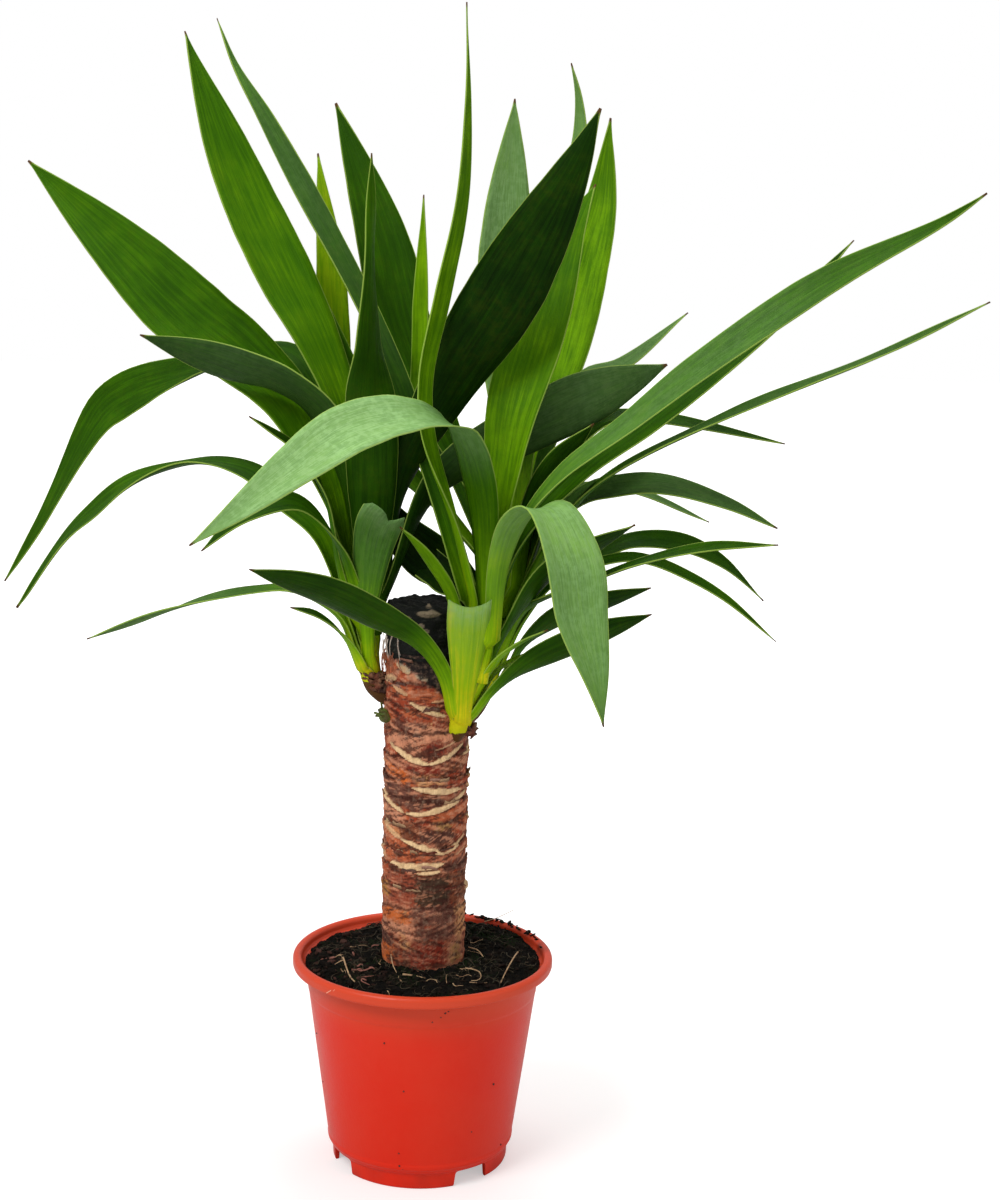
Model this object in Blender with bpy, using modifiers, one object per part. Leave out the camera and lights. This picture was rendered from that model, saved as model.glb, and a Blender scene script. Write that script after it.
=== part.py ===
# A potted yucca: a short cut cane with three leafy side shoots, standing in peat
# in a plastic nursery pot. Metres, +Z up. The origin is on the surface that the
# pot stands on, on the axis that the pot and the cane share.

from math import cos, pi, radians, sin, sqrt

import bmesh
import bpy
from mathutils import Matrix, Vector, noise

MM = 0.001
GAP = 0.3               # clearance between neighbouring solids, mm

# Pot, mm
POT_RADIUS = 60.0       # outside of the lip
POT_HEIGHT = 98.0
LIP_HEIGHT = 5.2
LIP_THICK = 4.2
WALL = 1.6
SHOULDER_RADIUS = 54.2  # outside of the wall just under the lip
BASE_RADIUS = 42.5      # outside of the wall just above the foot
LEDGE_DROP = 16.5       # stacking ledge, below the rim
LEDGE_STEP = 0.7
FOOT_RADIUS = 41.0
FOOT_HEIGHT = 7.5
FOOT_THICK = 2.4
FLOOR_THICK = 1.6
NOTCH_ANGLES = (-150.0, -52.5, 30.0, 127.5)
NOTCH_WIDTH = 16.5
DRAIN_COUNT = 6
DRAIN_RING = 24.0
DRAIN_RADIUS = 3.2

# Peat, mm
SOIL_TOP = 95.0
SOIL_SHOULDER = 90.8     # where the peat begins to fill out under the lip
SOIL_LUMP = 1.1

# Cane, mm
CANE_RADIUS = 19.4
CANE_BULGE = 0.35
CANE_FOOT = 30.0        # bottom of the cane, down in the peat
CANE_CUT = 240.0        # where the dark seal begins
CANE_TOP = 263.0

# Leaves, mm
LEAF_THICK = 1.0
LEAF_BASE = 4.0         # width where a leaf joins its shoot
LEAF_FOLD = 14.0        # how far each half of a blade tilts up, degrees
LEAF_STEP = 14.0        # length of one segment of a blade
LEAF_WIDEST = 0.6       # where along a blade it is widest
LEAF_TIP = 0.03

# Side shoots, mm: the line that the leaves start from, and the points and radii
# of the green stem inside them
SHOOTS = {
    "left": {
        "line": ((-25, 1, 228), (-26.5, 3, 300)),
        "stem": [((-15, 1, 213), 4.6), ((-21.5, 1, 218), 5.0), ((-25, 1, 228), 5.0),
                 ((-25.6, 1.8, 255), 3.5), ((-26.1, 2.5, 282), 2.2)],
    },
    "front": {
        "line": ((15, -13, 208), (29, -17, 300)),
        "stem": [((11, -9, 200), 4.4), ((15, -13, 208), 5.0), ((19.1, -14.2, 235), 3.8),
                 ((26.3, -16.2, 282), 2.2)],
    },
    "back": {
        "line": ((24, 12, 215), (44, 20, 300)),
        "stem": [((14, 7, 203), 4.4), ((20.5, 10, 208), 4.8), ((24, 12, 215), 5.0),
                 ((31.9, 15.2, 248), 3.6), ((39.8, 18.3, 282), 2.2)],
    },
}

# Leaves, lowest first on each shoot, then a short one hidden in the crown. Each has
# the height of its base, the direction it grows in (degrees, 0 is +X and 90 is +Y),
# its route as (distance from the shoot, height) points, its greatest width, and how
# it rolls about its own length from base to tip (degrees). Some also have where they
# are widest, a direction that sweeps round on the way to the tip, a base beside the
# shoot, or a tip that is cut off square.
LEFT_LEAVES = [
    (231, -152, [(7, 231), (14, 246), (27, 257), (40, 262)], 9, [0, -20]),
    (237, 178, [(9, 237), (15, 253), (25, 261), (38, 266), (54, 265), (77, 260), (114, 247), (130, 241)],
     10, [0, -10, 40]),
    (238, -103, [(7, 238), (11, 256), (14, 275), (19, 293), (26, 303), (31, 307)], 20, [0],
     {"sweep": 29, "widest": 0.85, "cut": True}),
    (242, 162, [(8, 242), (17, 268), (27, 291), (45, 305), (60, 316), (82, 320), (102, 316), (123, 307),
                (140, 294), (155, 281), (183, 245)], 19, [0, -30, -5, -35, -50]),
    (247, 132, [(8, 247), (25, 300), (46, 350), (64, 367), (95, 365), (123, 357), (145, 351), (164, 344),
                (178, 334), (204, 276), (216, 250)], 26, [0, -20, -25, -90, -85], {"sweep": 20}),
    (252, -134, [(7, 252), (22, 290), (46, 310), (74, 306), (96, 294)], 13, [0, -35, -20]),
    (254, 168, [(9, 254), (14, 285), (24, 318), (41, 350), (62, 369), (86, 386), (124, 420), (163, 454)],
     35, [0, -40, -60, -65]),
    (256, -158, [(11, 256), (17, 280), (23, 310), (36, 331), (48, 340), (57, 346)], 10, [0, -30]),
    (262, 100, [(7, 262), (22, 290), (45, 310), (68, 312), (98, 290)], 14, [0]),
    (262, -90, [(7, 262), (12, 310), (17, 345), (22, 390), (28, 430), (36, 458)], 23,
     [0, 0, 0, 60, 75, 45], {"widest": 0.35}),
    (263, -168, [(6, 263), (12, 310), (24, 345), (42, 359), (62, 366), (102, 380)], 27, [0, 25, 60]),
    (266, 8, [(8, 266), (31, 317), (64, 338), (92, 352), (132, 370)], 27, [0, -75, -85], {"widest": 0.72}),
    (268, 154, [(5, 268), (7, 300), (15, 343), (30, 376), (46, 402), (72, 448), (96, 502), (100, 513)],
     30, [0, -20, -30, -30]),
    (270, -23, [(8, 270), (14, 316), (33, 354), (64, 404), (92, 454), (103, 478)], 33, [0, -45, -65, -65]),
    (276, 112, [(8, 276), (30, 320), (52, 352), (62, 385), (68, 415), (88, 462)], 15, [0, -10, -10]),
    (280, 60, [(7, 280), (22, 325), (36, 355), (38, 400), (39, 443)], 8, [0, 20]),
]
FRONT_LEAVES = [
    (212, -80, [(7, 212), (12, 235), (16, 251), (19, 262), (22, 269)], 19, [0], {"widest": 0.85, "cut": True}),
    (214, -12, [(7, 214), (15, 225), (30, 239), (50, 250), (84, 265)], 14, [0, -60, -60]),
    (216, -132, [(8, 216), (13, 232), (28, 250), (58, 267), (86, 280), (125, 293)], 17, [0, 40, 50]),
    (220, 16, [(7, 220), (16, 234), (35, 243)], 6, [0]),
    (224, -32, [(7, 224), (16, 240), (28, 250), (42, 258)], 8, [0]),
    (231, -2, [(8, 231), (17, 252), (34, 278), (52, 290), (72, 302)], 17, [0, -30, -50]),
    (236, -140, [(7, 236), (8, 256), (12, 270), (22, 284), (31, 294), (40, 302)], 8, [0, 20]),
    (244, 15, [(8, 244), (20, 289), (47, 320), (80, 344), (138, 391), (173, 427)], 16, [0, 20, 30]),
    (246, -126, [(3, 246), (3, 293), (8, 320), (22, 344), (42, 350), (62, 350), (85, 345), (107, 333),
                 (138, 311), (149, 303)], 26, [0, 10, -25, -35, -35], {"sweep": -15, "beside": (5, -5)}),
    (250, -50, [(14, 250), (18, 286), (28, 305), (45, 312), (62, 293), (69, 268), (79, 245), (85, 226)],
     27, [0, 0, 15, 15]),
    (252, -10, [(7, 252), (19, 297), (36, 322), (66, 347), (95, 371), (149, 409), (197, 434), (215, 445)],
     20, [0, 30, 40, 40], {"sweep": -17}),
    (262, 45, [(6, 262), (10, 300), (17, 345), (26, 370), (50, 425), (67, 449)], 28, [0, 20, 30, 30]),
    (268, -166, [(6, 268), (14, 300), (27, 340), (28, 365), (21, 400), (13, 440), (11, 480), (12, 521)],
     13, [0, -40, -50, -30], {"widest": 0.35, "beside": (0, -3)}),
    (268, 145, [(7, 268), (28, 318), (48, 360), (64, 387), (96, 433), (129, 478), (147, 501), (158, 522)],
     16, [-55, -40, -20, -55, -20], {"widest": 0.6, "beside": (0, -0.2)}),
    (262, 154, [(7, 263), (11, 268), (19, 275), (28, 281)], 16, [0, -40, -50], {"cut": True}),
]
BACK_LEAVES = [
    (222, 6, [(9, 222), (18, 240), (32, 253), (54, 261), (76, 268)], 13, [0, -60, -60]),
    (230, -8, [(6, 230), (17, 254), (32, 273), (60, 284), (73, 283), (87, 278), (106, 268), (130, 249)],
     6, [0, 40, 40]),
    (237, -46, [(6, 237), (19, 258), (38, 269), (62, 279), (89, 290), (125, 301), (162, 307)], 11, [0, 20, 30]),
    (241, 18, [(7, 241), (24, 266), (50, 281), (65, 287), (90, 286), (112, 276), (134, 257)],
     10, [0, 20, 60, 40]),
    (244, -31, [(7, 244), (21, 278), (39, 307), (58, 324), (111, 352), (177, 381), (221, 404)],
     12, [0, 20, 20, 30]),
    (247, 40, [(11, 247), (21, 284), (37, 306), (66, 309), (87, 305), (135, 288)], 11, [0, 20, 30]),
    (251, -12, [(7, 251), (18, 275), (25, 298), (38, 311), (51, 315), (71, 317), (102, 310), (124, 301)],
     17, [0, 30, 20]),
    (259, 9, [(6, 259), (14, 285), (24, 322), (45, 344), (64, 345), (81, 343), (129, 334)], 12, [0, 20, 30]),
    (262, 80, [(8, 262), (22, 288), (45, 298), (68, 292), (88, 270)], 14, [0]),
    (264, 128, [(7, 264), (40, 318), (66, 345), (90, 376)], 20, [0]),
    (268, -44, [(7, 268), (11, 300), (26, 325), (48, 346)], 14, [0, -30]),
    (270, 164, [(7, 270), (34, 300), (66, 332), (102, 397), (125, 446)], 18, [0, -50, -50]),
    (272, 30, [(5, 272), (10, 297), (19, 334), (38, 362), (57, 368), (92, 392)], 12, [0, 20]),
    (278, 66, [(7, 278), (29, 337), (56, 376), (74, 411), (93, 444), (102, 483)], 23, [0, 20, 20, 20]),
    (280, 146, [(6, 280), (43, 336), (68, 386), (81, 425), (108, 485)], 27, [0, -40, -40]),
    (288, 58, [(0, 288), (2, 320), (12, 370), (32, 425), (41, 460), (43, 475), (40, 490), (33, 503)],
     12, [0, 20]),
    (289, 104, [(5, 289), (32, 340), (44, 380), (44, 430), (32, 487)], 27, [0]),
    (258, 176, [(8, 260), (20, 268), (36, 280), (52, 296), (62, 318)], 20, [0, -60, -60]),
]


def clear_scene():
    for obj in list(bpy.data.objects):
        bpy.data.objects.remove(obj, do_unlink=True)


def make_collection(name):
    collection = bpy.data.collections.new(name)
    bpy.context.scene.collection.children.link(collection)
    return collection


def make_material(name, colour, roughness):
    material = bpy.data.materials.new(name)
    material.use_nodes = True
    shader = material.node_tree.nodes["Principled BSDF"]
    shader.inputs["Base Color"].default_value = (*colour, 1.0)
    shader.inputs["Roughness"].default_value = roughness
    shader.inputs["Metallic"].default_value = 0.0
    return material


def add_object(name, data, collection, material=None):
    obj = bpy.data.objects.new(name, data)
    collection.objects.link(obj)
    if material:
        data.materials.append(material)
    return obj


def as_cutter(obj):
    obj.hide_render = True
    obj.display_type = "WIRE"
    return obj


def cut(obj, cutter):
    boolean = obj.modifiers.new("cut", "BOOLEAN")
    boolean.operation = "DIFFERENCE"
    boolean.solver = "EXACT"
    boolean.object = cutter


def turned(name, outline, steps, collection, material=None):
    """A closed solid of revolution: its outline runs down the outside, then back up the inside."""
    mesh = bpy.data.meshes.new(name)
    bm = bmesh.new()
    ring = [bm.verts.new((r * MM, 0, z * MM)) for r, z in outline]
    for here, there in zip(ring, ring[1:]):
        bm.edges.new((here, there))
    if outline[0][0] > 0 or outline[-1][0] > 0:
        bm.edges.new((ring[-1], ring[0]))
    bm.to_mesh(mesh)
    bm.free()
    obj = add_object(name, mesh, collection, material)
    screw = obj.modifiers.new("turn", "SCREW")
    screw.axis = "Z"
    screw.angle = 2 * pi
    screw.steps = steps
    screw.render_steps = steps
    screw.use_merge_vertices = True
    screw.merge_threshold = 1e-5
    return obj


def to_mesh(obj):
    """The object as its modifiers or curve settings make it, as a plain welded mesh."""
    depsgraph = bpy.context.evaluated_depsgraph_get()
    mesh = bpy.data.meshes.new_from_object(obj.evaluated_get(depsgraph))
    bm = bmesh.new()
    bm.from_mesh(mesh)
    bmesh.ops.remove_doubles(bm, verts=bm.verts, dist=1e-6)
    bmesh.ops.recalc_face_normals(bm, faces=bm.faces)
    bm.to_mesh(mesh)
    bm.free()
    name = obj.name
    collection = obj.users_collection[0]
    place = obj.matrix_world.copy()
    bpy.data.objects.remove(obj, do_unlink=True)
    solid = bpy.data.objects.new(name, mesh)
    collection.objects.link(solid)
    solid.matrix_world = place
    return solid


def smooth(obj):
    obj.data.shade_smooth()
    obj.data.set_sharp_from_angle(angle=radians(40))


# Pot

def pot_outline():
    lip_bottom = POT_HEIGHT - LIP_HEIGHT
    ledge = POT_HEIGHT - LEDGE_DROP
    slope = (SHOULDER_RADIUS - BASE_RADIUS) / (lip_bottom - FOOT_HEIGHT)
    ledge_radius = BASE_RADIUS + slope * (ledge - FOOT_HEIGHT)
    floor_under = FOOT_HEIGHT + 0.3
    floor_top = floor_under + FLOOR_THICK
    outside = [
        (POT_RADIUS - LIP_THICK / 2, POT_HEIGHT),
        (POT_RADIUS - 0.7, POT_HEIGHT - 0.5),
        (POT_RADIUS, POT_HEIGHT - 1.6),
        (POT_RADIUS, lip_bottom + 0.6),
        (POT_RADIUS - 0.5, lip_bottom),
        (SHOULDER_RADIUS + 0.4, lip_bottom),
        (SHOULDER_RADIUS, lip_bottom - 0.6),
        (ledge_radius + LEDGE_STEP / 2, ledge + 0.4),
        (ledge_radius - LEDGE_STEP / 2, ledge - 0.4),
        (BASE_RADIUS, FOOT_HEIGHT + 0.8),
        (BASE_RADIUS - 0.8, FOOT_HEIGHT),
        (FOOT_RADIUS, FOOT_HEIGHT - 0.3),
        (FOOT_RADIUS - 0.4, 0.4),
        (FOOT_RADIUS - 0.8, 0.0),
    ]
    inside = [
        (FOOT_RADIUS - FOOT_THICK, 0.0),
        (FOOT_RADIUS - FOOT_THICK, floor_under),
        (0.0, floor_under),
        (0.0, floor_top),
        (pot_inner_radius(floor_top) - 0.8, floor_top),
        (pot_inner_radius(floor_top + 0.8), floor_top + 0.8),
        (pot_inner_radius(lip_bottom - 1.5), lip_bottom - 1.5),
        (POT_RADIUS - LIP_THICK - 1.0, lip_bottom + 1.0),
        (POT_RADIUS - LIP_THICK, POT_HEIGHT - 1.2),
        (POT_RADIUS - LIP_THICK + 0.7, POT_HEIGHT - 0.3),
    ]
    return outside + inside


def pot_inner_radius(z):
    slope = (SHOULDER_RADIUS - BASE_RADIUS) / (POT_HEIGHT - LIP_HEIGHT - FOOT_HEIGHT)
    return BASE_RADIUS + slope * (z - FOOT_HEIGHT) - WALL


def notch_cutter(angle, cutters):
    """A wedge-ended block that opens the foot ring, wider at the floor than at the top."""
    bm = bmesh.new()
    bmesh.ops.create_cube(bm, size=1.0)
    height = FOOT_HEIGHT - 0.2
    for vert in bm.verts:
        wide = NOTCH_WIDTH + (1.6 if vert.co.z < 0 else 0.0)
        vert.co.x = (FOOT_RADIUS - FOOT_THICK / 2 + vert.co.x * (FOOT_THICK + 4)) * MM
        vert.co.y *= wide * MM
        vert.co.z = (height if vert.co.z > 0 else -1.0) * MM
    bmesh.ops.rotate(bm, verts=bm.verts, cent=(0, 0, 0), matrix=Matrix.Rotation(radians(angle), 3, "Z"))
    mesh = bpy.data.meshes.new("notch_cutter")
    bm.to_mesh(mesh)
    bm.free()
    return as_cutter(add_object("notch_cutter", mesh, cutters))


def drain_cutter(x, y, cutters):
    bm = bmesh.new()
    place = Matrix.Translation((x * MM, y * MM, FOOT_HEIGHT * MM))
    bmesh.ops.create_cone(bm, cap_ends=True, segments=16, radius1=DRAIN_RADIUS * MM,
                          radius2=DRAIN_RADIUS * MM, depth=10 * MM, matrix=place)
    mesh = bpy.data.meshes.new("drain_cutter")
    bm.to_mesh(mesh)
    bm.free()
    return as_cutter(add_object("drain_cutter", mesh, cutters))


def make_pot(parts, cutters):
    plastic = make_material("pot_plastic", (0.72, 0.16, 0.06), 0.45)
    pot = turned("pot", pot_outline(), 56, parts, plastic)
    for angle in NOTCH_ANGLES:
        cut(pot, notch_cutter(angle, cutters))
    cut(pot, drain_cutter(0, 0, cutters))
    for index in range(DRAIN_COUNT):
        angle = 2 * pi * index / DRAIN_COUNT
        cut(pot, drain_cutter(DRAIN_RING * cos(angle), DRAIN_RING * sin(angle), cutters))
    smooth(pot)


# Peat

def make_soil(parts, cutters):
    peat = make_material("peat", (0.035, 0.024, 0.018), 0.95)
    bottom = FOOT_HEIGHT + 0.3 + FLOOR_THICK + GAP
    edge = POT_RADIUS - LIP_THICK - 1.6
    shoulder = pot_inner_radius(SOIL_SHOULDER) - GAP - 0.2
    rings = [edge * share for share in (0.97, 0.84, 0.68, 0.52)]
    outline = [(0.0, SOIL_TOP)]
    outline += [(radius, SOIL_TOP) for radius in reversed(rings)]
    outline += [(edge, SOIL_TOP - 1.0), (shoulder, SOIL_SHOULDER)]
    outline += [(pot_inner_radius(bottom + 2) - GAP - 0.2, bottom + 2)]
    outline += [(pot_inner_radius(bottom) - GAP - 2.2, bottom), (0.0, bottom)]
    soil = to_mesh(turned("soil", outline, 40, parts))
    for vert in soil.data.vertices:
        if vert.co.z > (SOIL_TOP - 0.5) * MM:
            lump = noise.noise(Vector((vert.co.x, vert.co.y, 0)) * 90)
            vert.co.z += SOIL_LUMP * lump * MM
    soil.data.materials.append(peat)
    hole = [(0.0, SOIL_TOP + 20), (CANE_RADIUS + CANE_BULGE + GAP, SOIL_TOP + 20),
            (CANE_RADIUS + CANE_BULGE + GAP, CANE_FOOT - GAP), (0.0, CANE_FOOT - GAP)]
    cut(soil, as_cutter(turned("cane_hole_cutter", hole, 32, cutters)))
    smooth(soil)


# Cane

def cane_radius(z):
    """The cane swells a little between its old leaf scars."""
    return CANE_RADIUS + CANE_BULGE * sin(z / 6.5) * cos(z / 17.0)


def make_cane(parts):
    bark = make_material("bark", (0.23, 0.11, 0.06), 0.85)
    outline = [(0.0, CANE_CUT - GAP)]
    height = CANE_CUT - GAP
    while height > CANE_FOOT:
        outline.append((cane_radius(height), height))
        height -= 10.0
    outline += [(cane_radius(CANE_FOOT) - 1.0, CANE_FOOT), (0.0, CANE_FOOT)]
    smooth(turned("trunk", outline, 32, parts, bark))

    seal = make_material("cut_seal", (0.045, 0.040, 0.036), 0.8)
    outline = [(0.0, CANE_TOP - 1.5), (CANE_RADIUS - 5.0, CANE_TOP - 0.6), (CANE_RADIUS - 1.6, CANE_TOP),
               (CANE_RADIUS - 0.3, CANE_TOP - 1.4), (CANE_RADIUS, CANE_TOP - 10), (CANE_RADIUS, CANE_CUT),
               (0.0, CANE_CUT)]
    smooth(turned("cut_cap", outline, 32, parts, seal))


def cane_cutter(cutters):
    radius = CANE_RADIUS + CANE_BULGE + GAP
    outline = [(0.0, CANE_TOP + 2), (radius, CANE_TOP + 2), (radius, CANE_FOOT), (0.0, CANE_FOOT)]
    return as_cutter(turned("cane_cutter", outline, 48, cutters))


def make_bud(parts, cutter):
    """A dormant bud: a pointed scale low on the left of the cane."""
    husk = make_material("bud_husk", (0.16, 0.075, 0.035), 0.8)
    bm = bmesh.new()
    bmesh.ops.create_uvsphere(bm, u_segments=12, v_segments=8, radius=1.0)
    for vert in bm.verts:
        rise = max(vert.co.z, 0.0)
        vert.co.x = vert.co.x * 3.4 * (1 - 0.45 * rise) - 1.8 * rise
        vert.co.y *= 3.0 * (1 - 0.45 * rise)
        vert.co.z *= 5.0 if rise else 3.4
    bmesh.ops.scale(bm, verts=bm.verts, vec=(MM, MM, MM))
    bmesh.ops.translate(bm, verts=bm.verts, vec=Vector((-18.4, -8.6, 211.5)) * MM)
    mesh = bpy.data.meshes.new("side_bud")
    bm.to_mesh(mesh)
    bm.free()
    bud = add_object("side_bud", mesh, parts, husk)
    cut(bud, cutter)
    smooth(bud)


def make_stem(name, points, parts, cutter, material):
    curve = bpy.data.curves.new(name, "CURVE")
    curve.dimensions = "3D"
    curve.bevel_depth = MM
    curve.bevel_resolution = 3
    curve.use_fill_caps = True
    curve.resolution_u = 4
    spline = curve.splines.new("BEZIER")
    spline.bezier_points.add(len(points) - 1)
    for point, (place, radius) in zip(spline.bezier_points, points):
        point.co = Vector(place) * MM
        point.radius = radius
        point.handle_left_type = "AUTO"
        point.handle_right_type = "AUTO"
    stem = to_mesh(add_object(name, curve, parts))
    stem.data.materials.clear()
    stem.data.materials.append(material)
    cut(stem, cutter)
    smooth(stem)


# Leaves

def smooth_route(points, per_span=24):
    """Points along a centripetal Catmull-Rom curve through the given ones."""
    knots = [Vector(point) for point in points]
    knots = [2 * knots[0] - knots[1]] + knots + [2 * knots[-1] - knots[-2]]
    route = []
    for p0, p1, p2, p3 in zip(knots, knots[1:], knots[2:], knots[3:]):
        t0 = 0.0
        t1 = t0 + sqrt((p1 - p0).length)
        t2 = t1 + sqrt((p2 - p1).length)
        t3 = t2 + sqrt((p3 - p2).length)
        for step in range(per_span):
            t = t1 + (t2 - t1) * step / per_span
            a1 = p0.lerp(p1, (t - t0) / (t1 - t0))
            a2 = p1.lerp(p2, (t - t1) / (t2 - t1))
            a3 = p2.lerp(p3, (t - t2) / (t3 - t2))
            b1 = a1.lerp(a2, (t - t0) / (t2 - t0))
            b2 = a2.lerp(a3, (t - t1) / (t3 - t1))
            route.append(b1.lerp(b2, (t - t1) / (t2 - t1)))
    route.append(knots[-2])
    return route


def evenly(route, count):
    """The route as count + 1 points at equal steps along it, and its length."""
    along = [0.0]
    for here, there in zip(route, route[1:]):
        along.append(along[-1] + (there - here).length)
    points = []
    span = 0
    for step in range(count + 1):
        wanted = along[-1] * step / count
        while span < len(route) - 2 and along[span + 1] < wanted:
            span += 1
        share = (wanted - along[span]) / (along[span + 1] - along[span])
        points.append(route[span].lerp(route[span + 1], share))
    return points, along[-1]


def along_list(values, s):
    """A value from an evenly spaced list, eased from one to the next, at s from 0 to 1."""
    if len(values) == 1:
        return values[0]
    place = s * (len(values) - 1)
    index = min(int(place), len(values) - 2)
    share = place - index
    share = share * share * (3 - 2 * share)
    return values[index] + (values[index + 1] - values[index]) * share


def blade_width(s, width, widest):
    if s < widest:
        share = s / widest
        share = (share * share * (3 - 2 * share)) ** 1.2
        return LEAF_BASE + (width - LEAF_BASE) * share
    return width * max(cos(pi / 2 * (s - widest) / (1 - widest)), LEAF_TIP)


def make_leaf(name, shoot, leaf, parts, material):
    base, direction, points, width, rolls = leaf[:5]
    options = leaf[5] if len(leaf) > 5 else {}
    bottom, top = (Vector(end) for end in SHOOTS[shoot]["line"])
    start = bottom.lerp(top, (base - bottom.z) / (top.z - bottom.z))
    start += Vector((*options.get("beside", (0, 0)), 0))

    route = smooth_route(points)
    length = evenly(route, 1)[1]
    count = min(max(round(length / LEAF_STEP), 6), 16)
    route = evenly(route, count)[0]
    middle = []
    for index, (reach, height) in enumerate(route):
        turn = radians(direction + options.get("sweep", 0) * (index / count) ** 2)
        middle.append(Vector((start.x + reach * cos(turn), start.y + reach * sin(turn), height)))

    across = Vector((-sin(radians(direction)), cos(radians(direction)), 0))
    fold = radians(LEAF_FOLD)
    rows = []
    for index, centre in enumerate(middle):
        s = index / count
        ahead = (middle[min(index + 1, count)] - middle[max(index - 1, 0)]).normalized()
        side = (across - ahead * across.dot(ahead)).normalized()
        up = ahead.cross(side)
        roll = radians(along_list(rolls, s))
        side, up = side * cos(roll) + up * sin(roll), up * cos(roll) - side * sin(roll)
        widest = options.get("widest", LEAF_WIDEST)
        half = blade_width(s, width, widest) / 2
        if options.get("cut") and s > widest:
            half = width / 2
        rows.append((centre, side * half * cos(fold), up * half * sin(fold)))

    bm = bmesh.new()
    bmesh.ops.create_grid(bm, x_segments=2, y_segments=count, size=1.0)
    for vert in bm.verts:
        u = vert.co.x
        centre, side, up = rows[round((vert.co.y + 1) / 2 * count)]
        vert.co = (centre + side * u + up * abs(u)) * MM
    mesh = bpy.data.meshes.new(name)
    bm.to_mesh(mesh)
    bm.free()
    obj = add_object(name, mesh, parts, material)
    solidify = obj.modifiers.new("thickness", "SOLIDIFY")
    solidify.thickness = LEAF_THICK * MM
    solidify.offset = 0.0
    mesh.shade_smooth()


def main():
    clear_scene()
    parts = make_collection("potted_yucca")
    cutters = make_collection("cutters")

    make_pot(parts, cutters)
    make_soil(parts, cutters)
    make_cane(parts)
    cutter = cane_cutter(cutters)
    make_bud(parts, cutter)

    green = make_material("leaf_green", (0.09, 0.22, 0.05), 0.5)
    pale_green = make_material("shoot_green", (0.36, 0.42, 0.10), 0.55)
    leaves = {"left": LEFT_LEAVES, "front": FRONT_LEAVES, "back": BACK_LEAVES}
    for shoot, shape in SHOOTS.items():
        make_stem(shoot + "_shoot", shape["stem"], parts, cutter, pale_green)
        for number, leaf in enumerate(leaves[shoot], start=1):
            make_leaf(f"{shoot}_leaf_{number:02d}", shoot, leaf, parts, green)


main()
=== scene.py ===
# A potted yucca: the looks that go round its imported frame.

from math import atan2, cos, degrees, exp, pi, radians, sin, sqrt
from random import Random

import bmesh
import bpy
from mathutils import Matrix, Vector, noise


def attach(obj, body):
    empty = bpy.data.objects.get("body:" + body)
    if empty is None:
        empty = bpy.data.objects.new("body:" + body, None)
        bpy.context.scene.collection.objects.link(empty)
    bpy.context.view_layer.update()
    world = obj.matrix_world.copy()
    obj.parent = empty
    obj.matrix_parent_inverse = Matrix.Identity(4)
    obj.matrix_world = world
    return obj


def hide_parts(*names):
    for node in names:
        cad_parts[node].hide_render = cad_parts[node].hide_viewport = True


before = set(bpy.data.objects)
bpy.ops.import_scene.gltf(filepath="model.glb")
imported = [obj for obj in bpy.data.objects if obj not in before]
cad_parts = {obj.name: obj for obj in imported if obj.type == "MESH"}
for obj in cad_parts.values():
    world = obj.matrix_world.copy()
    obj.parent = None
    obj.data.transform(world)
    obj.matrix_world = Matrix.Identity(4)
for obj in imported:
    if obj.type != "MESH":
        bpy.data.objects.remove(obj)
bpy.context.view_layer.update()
mm = 0.001


# Small helpers for numbers

def mix(a, b, share):
    return a + (b - a) * share


def eased(share):
    share = min(max(share, 0.0), 1.0)
    return share * share * (3 - 2 * share)


def alongList(values, s):
    # a value from an evenly spaced list, eased from one to the next
    if len(values) == 1:
        return values[0]
    place = min(max(s, 0.0), 1.0) * (len(values) - 1)
    index = min(int(place), len(values) - 2)
    return mix(values[index], values[index + 1], eased(place - index))


def angleGap(a, b):
    return (a - b + 180) % 360 - 180


# Small helpers for nodes

def plugIn(tree, node, inputs):
    # a socket is linked, and anything else becomes the input's own value
    for name, value in inputs.items():
        if isinstance(value, bpy.types.NodeSocket):
            tree.links.new(value, node.inputs[name])
        else:
            node.inputs[name].default_value = value


def put(tree, kind, inputs=None, **settings):
    node = tree.nodes.new(kind)
    for name, value in settings.items():
        setattr(node, name, value)
    plugIn(tree, node, inputs or {})
    return node


def calc(tree, operation, a, b=0.0, clamp=False):
    node = put(tree, "ShaderNodeMath", {0: a, 1: b}, operation=operation, use_clamp=clamp)
    return node.outputs[0]


def times(tree, a, b):
    return calc(tree, "MULTIPLY", a, b)


def plus(tree, a, b):
    return calc(tree, "ADD", a, b)


def remap(tree, value, low, high, toLow=0.0, toHigh=1.0):
    node = put(tree, "ShaderNodeMapRange", {"Value": value, "From Min": low, "From Max": high,
                                            "To Min": toLow, "To Max": toHigh},
               interpolation_type="SMOOTHSTEP")
    return node.outputs["Result"]


def blendColours(tree, factor, a, b, mode="MIX"):
    a, b = ((*colour, 1.0) if isinstance(colour, tuple) else colour for colour in (a, b))
    node = put(tree, "ShaderNodeMix", {0: factor, 6: a, 7: b}, data_type="RGBA", blend_type=mode)
    return node.outputs[2]


def ramp(tree, value, stops):
    node = put(tree, "ShaderNodeValToRGB", {"Fac": value})
    elements = node.color_ramp.elements
    while len(elements) < len(stops):
        elements.new(1.0)
    for element, (place, colour) in zip(elements, stops):
        element.position = place
        element.color = (*colour, 1.0)
    return node.outputs["Color"]


def vertexValue(tree, name):
    return put(tree, "ShaderNodeAttribute", attribute_name=name).outputs["Fac"]


def objectPlace(tree, scale=(1.0, 1.0, 1.0)):
    coords = put(tree, "ShaderNodeTexCoord")
    mapping = put(tree, "ShaderNodeMapping", {"Vector": coords.outputs["Object"], "Scale": scale})
    return mapping.outputs["Vector"]


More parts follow.
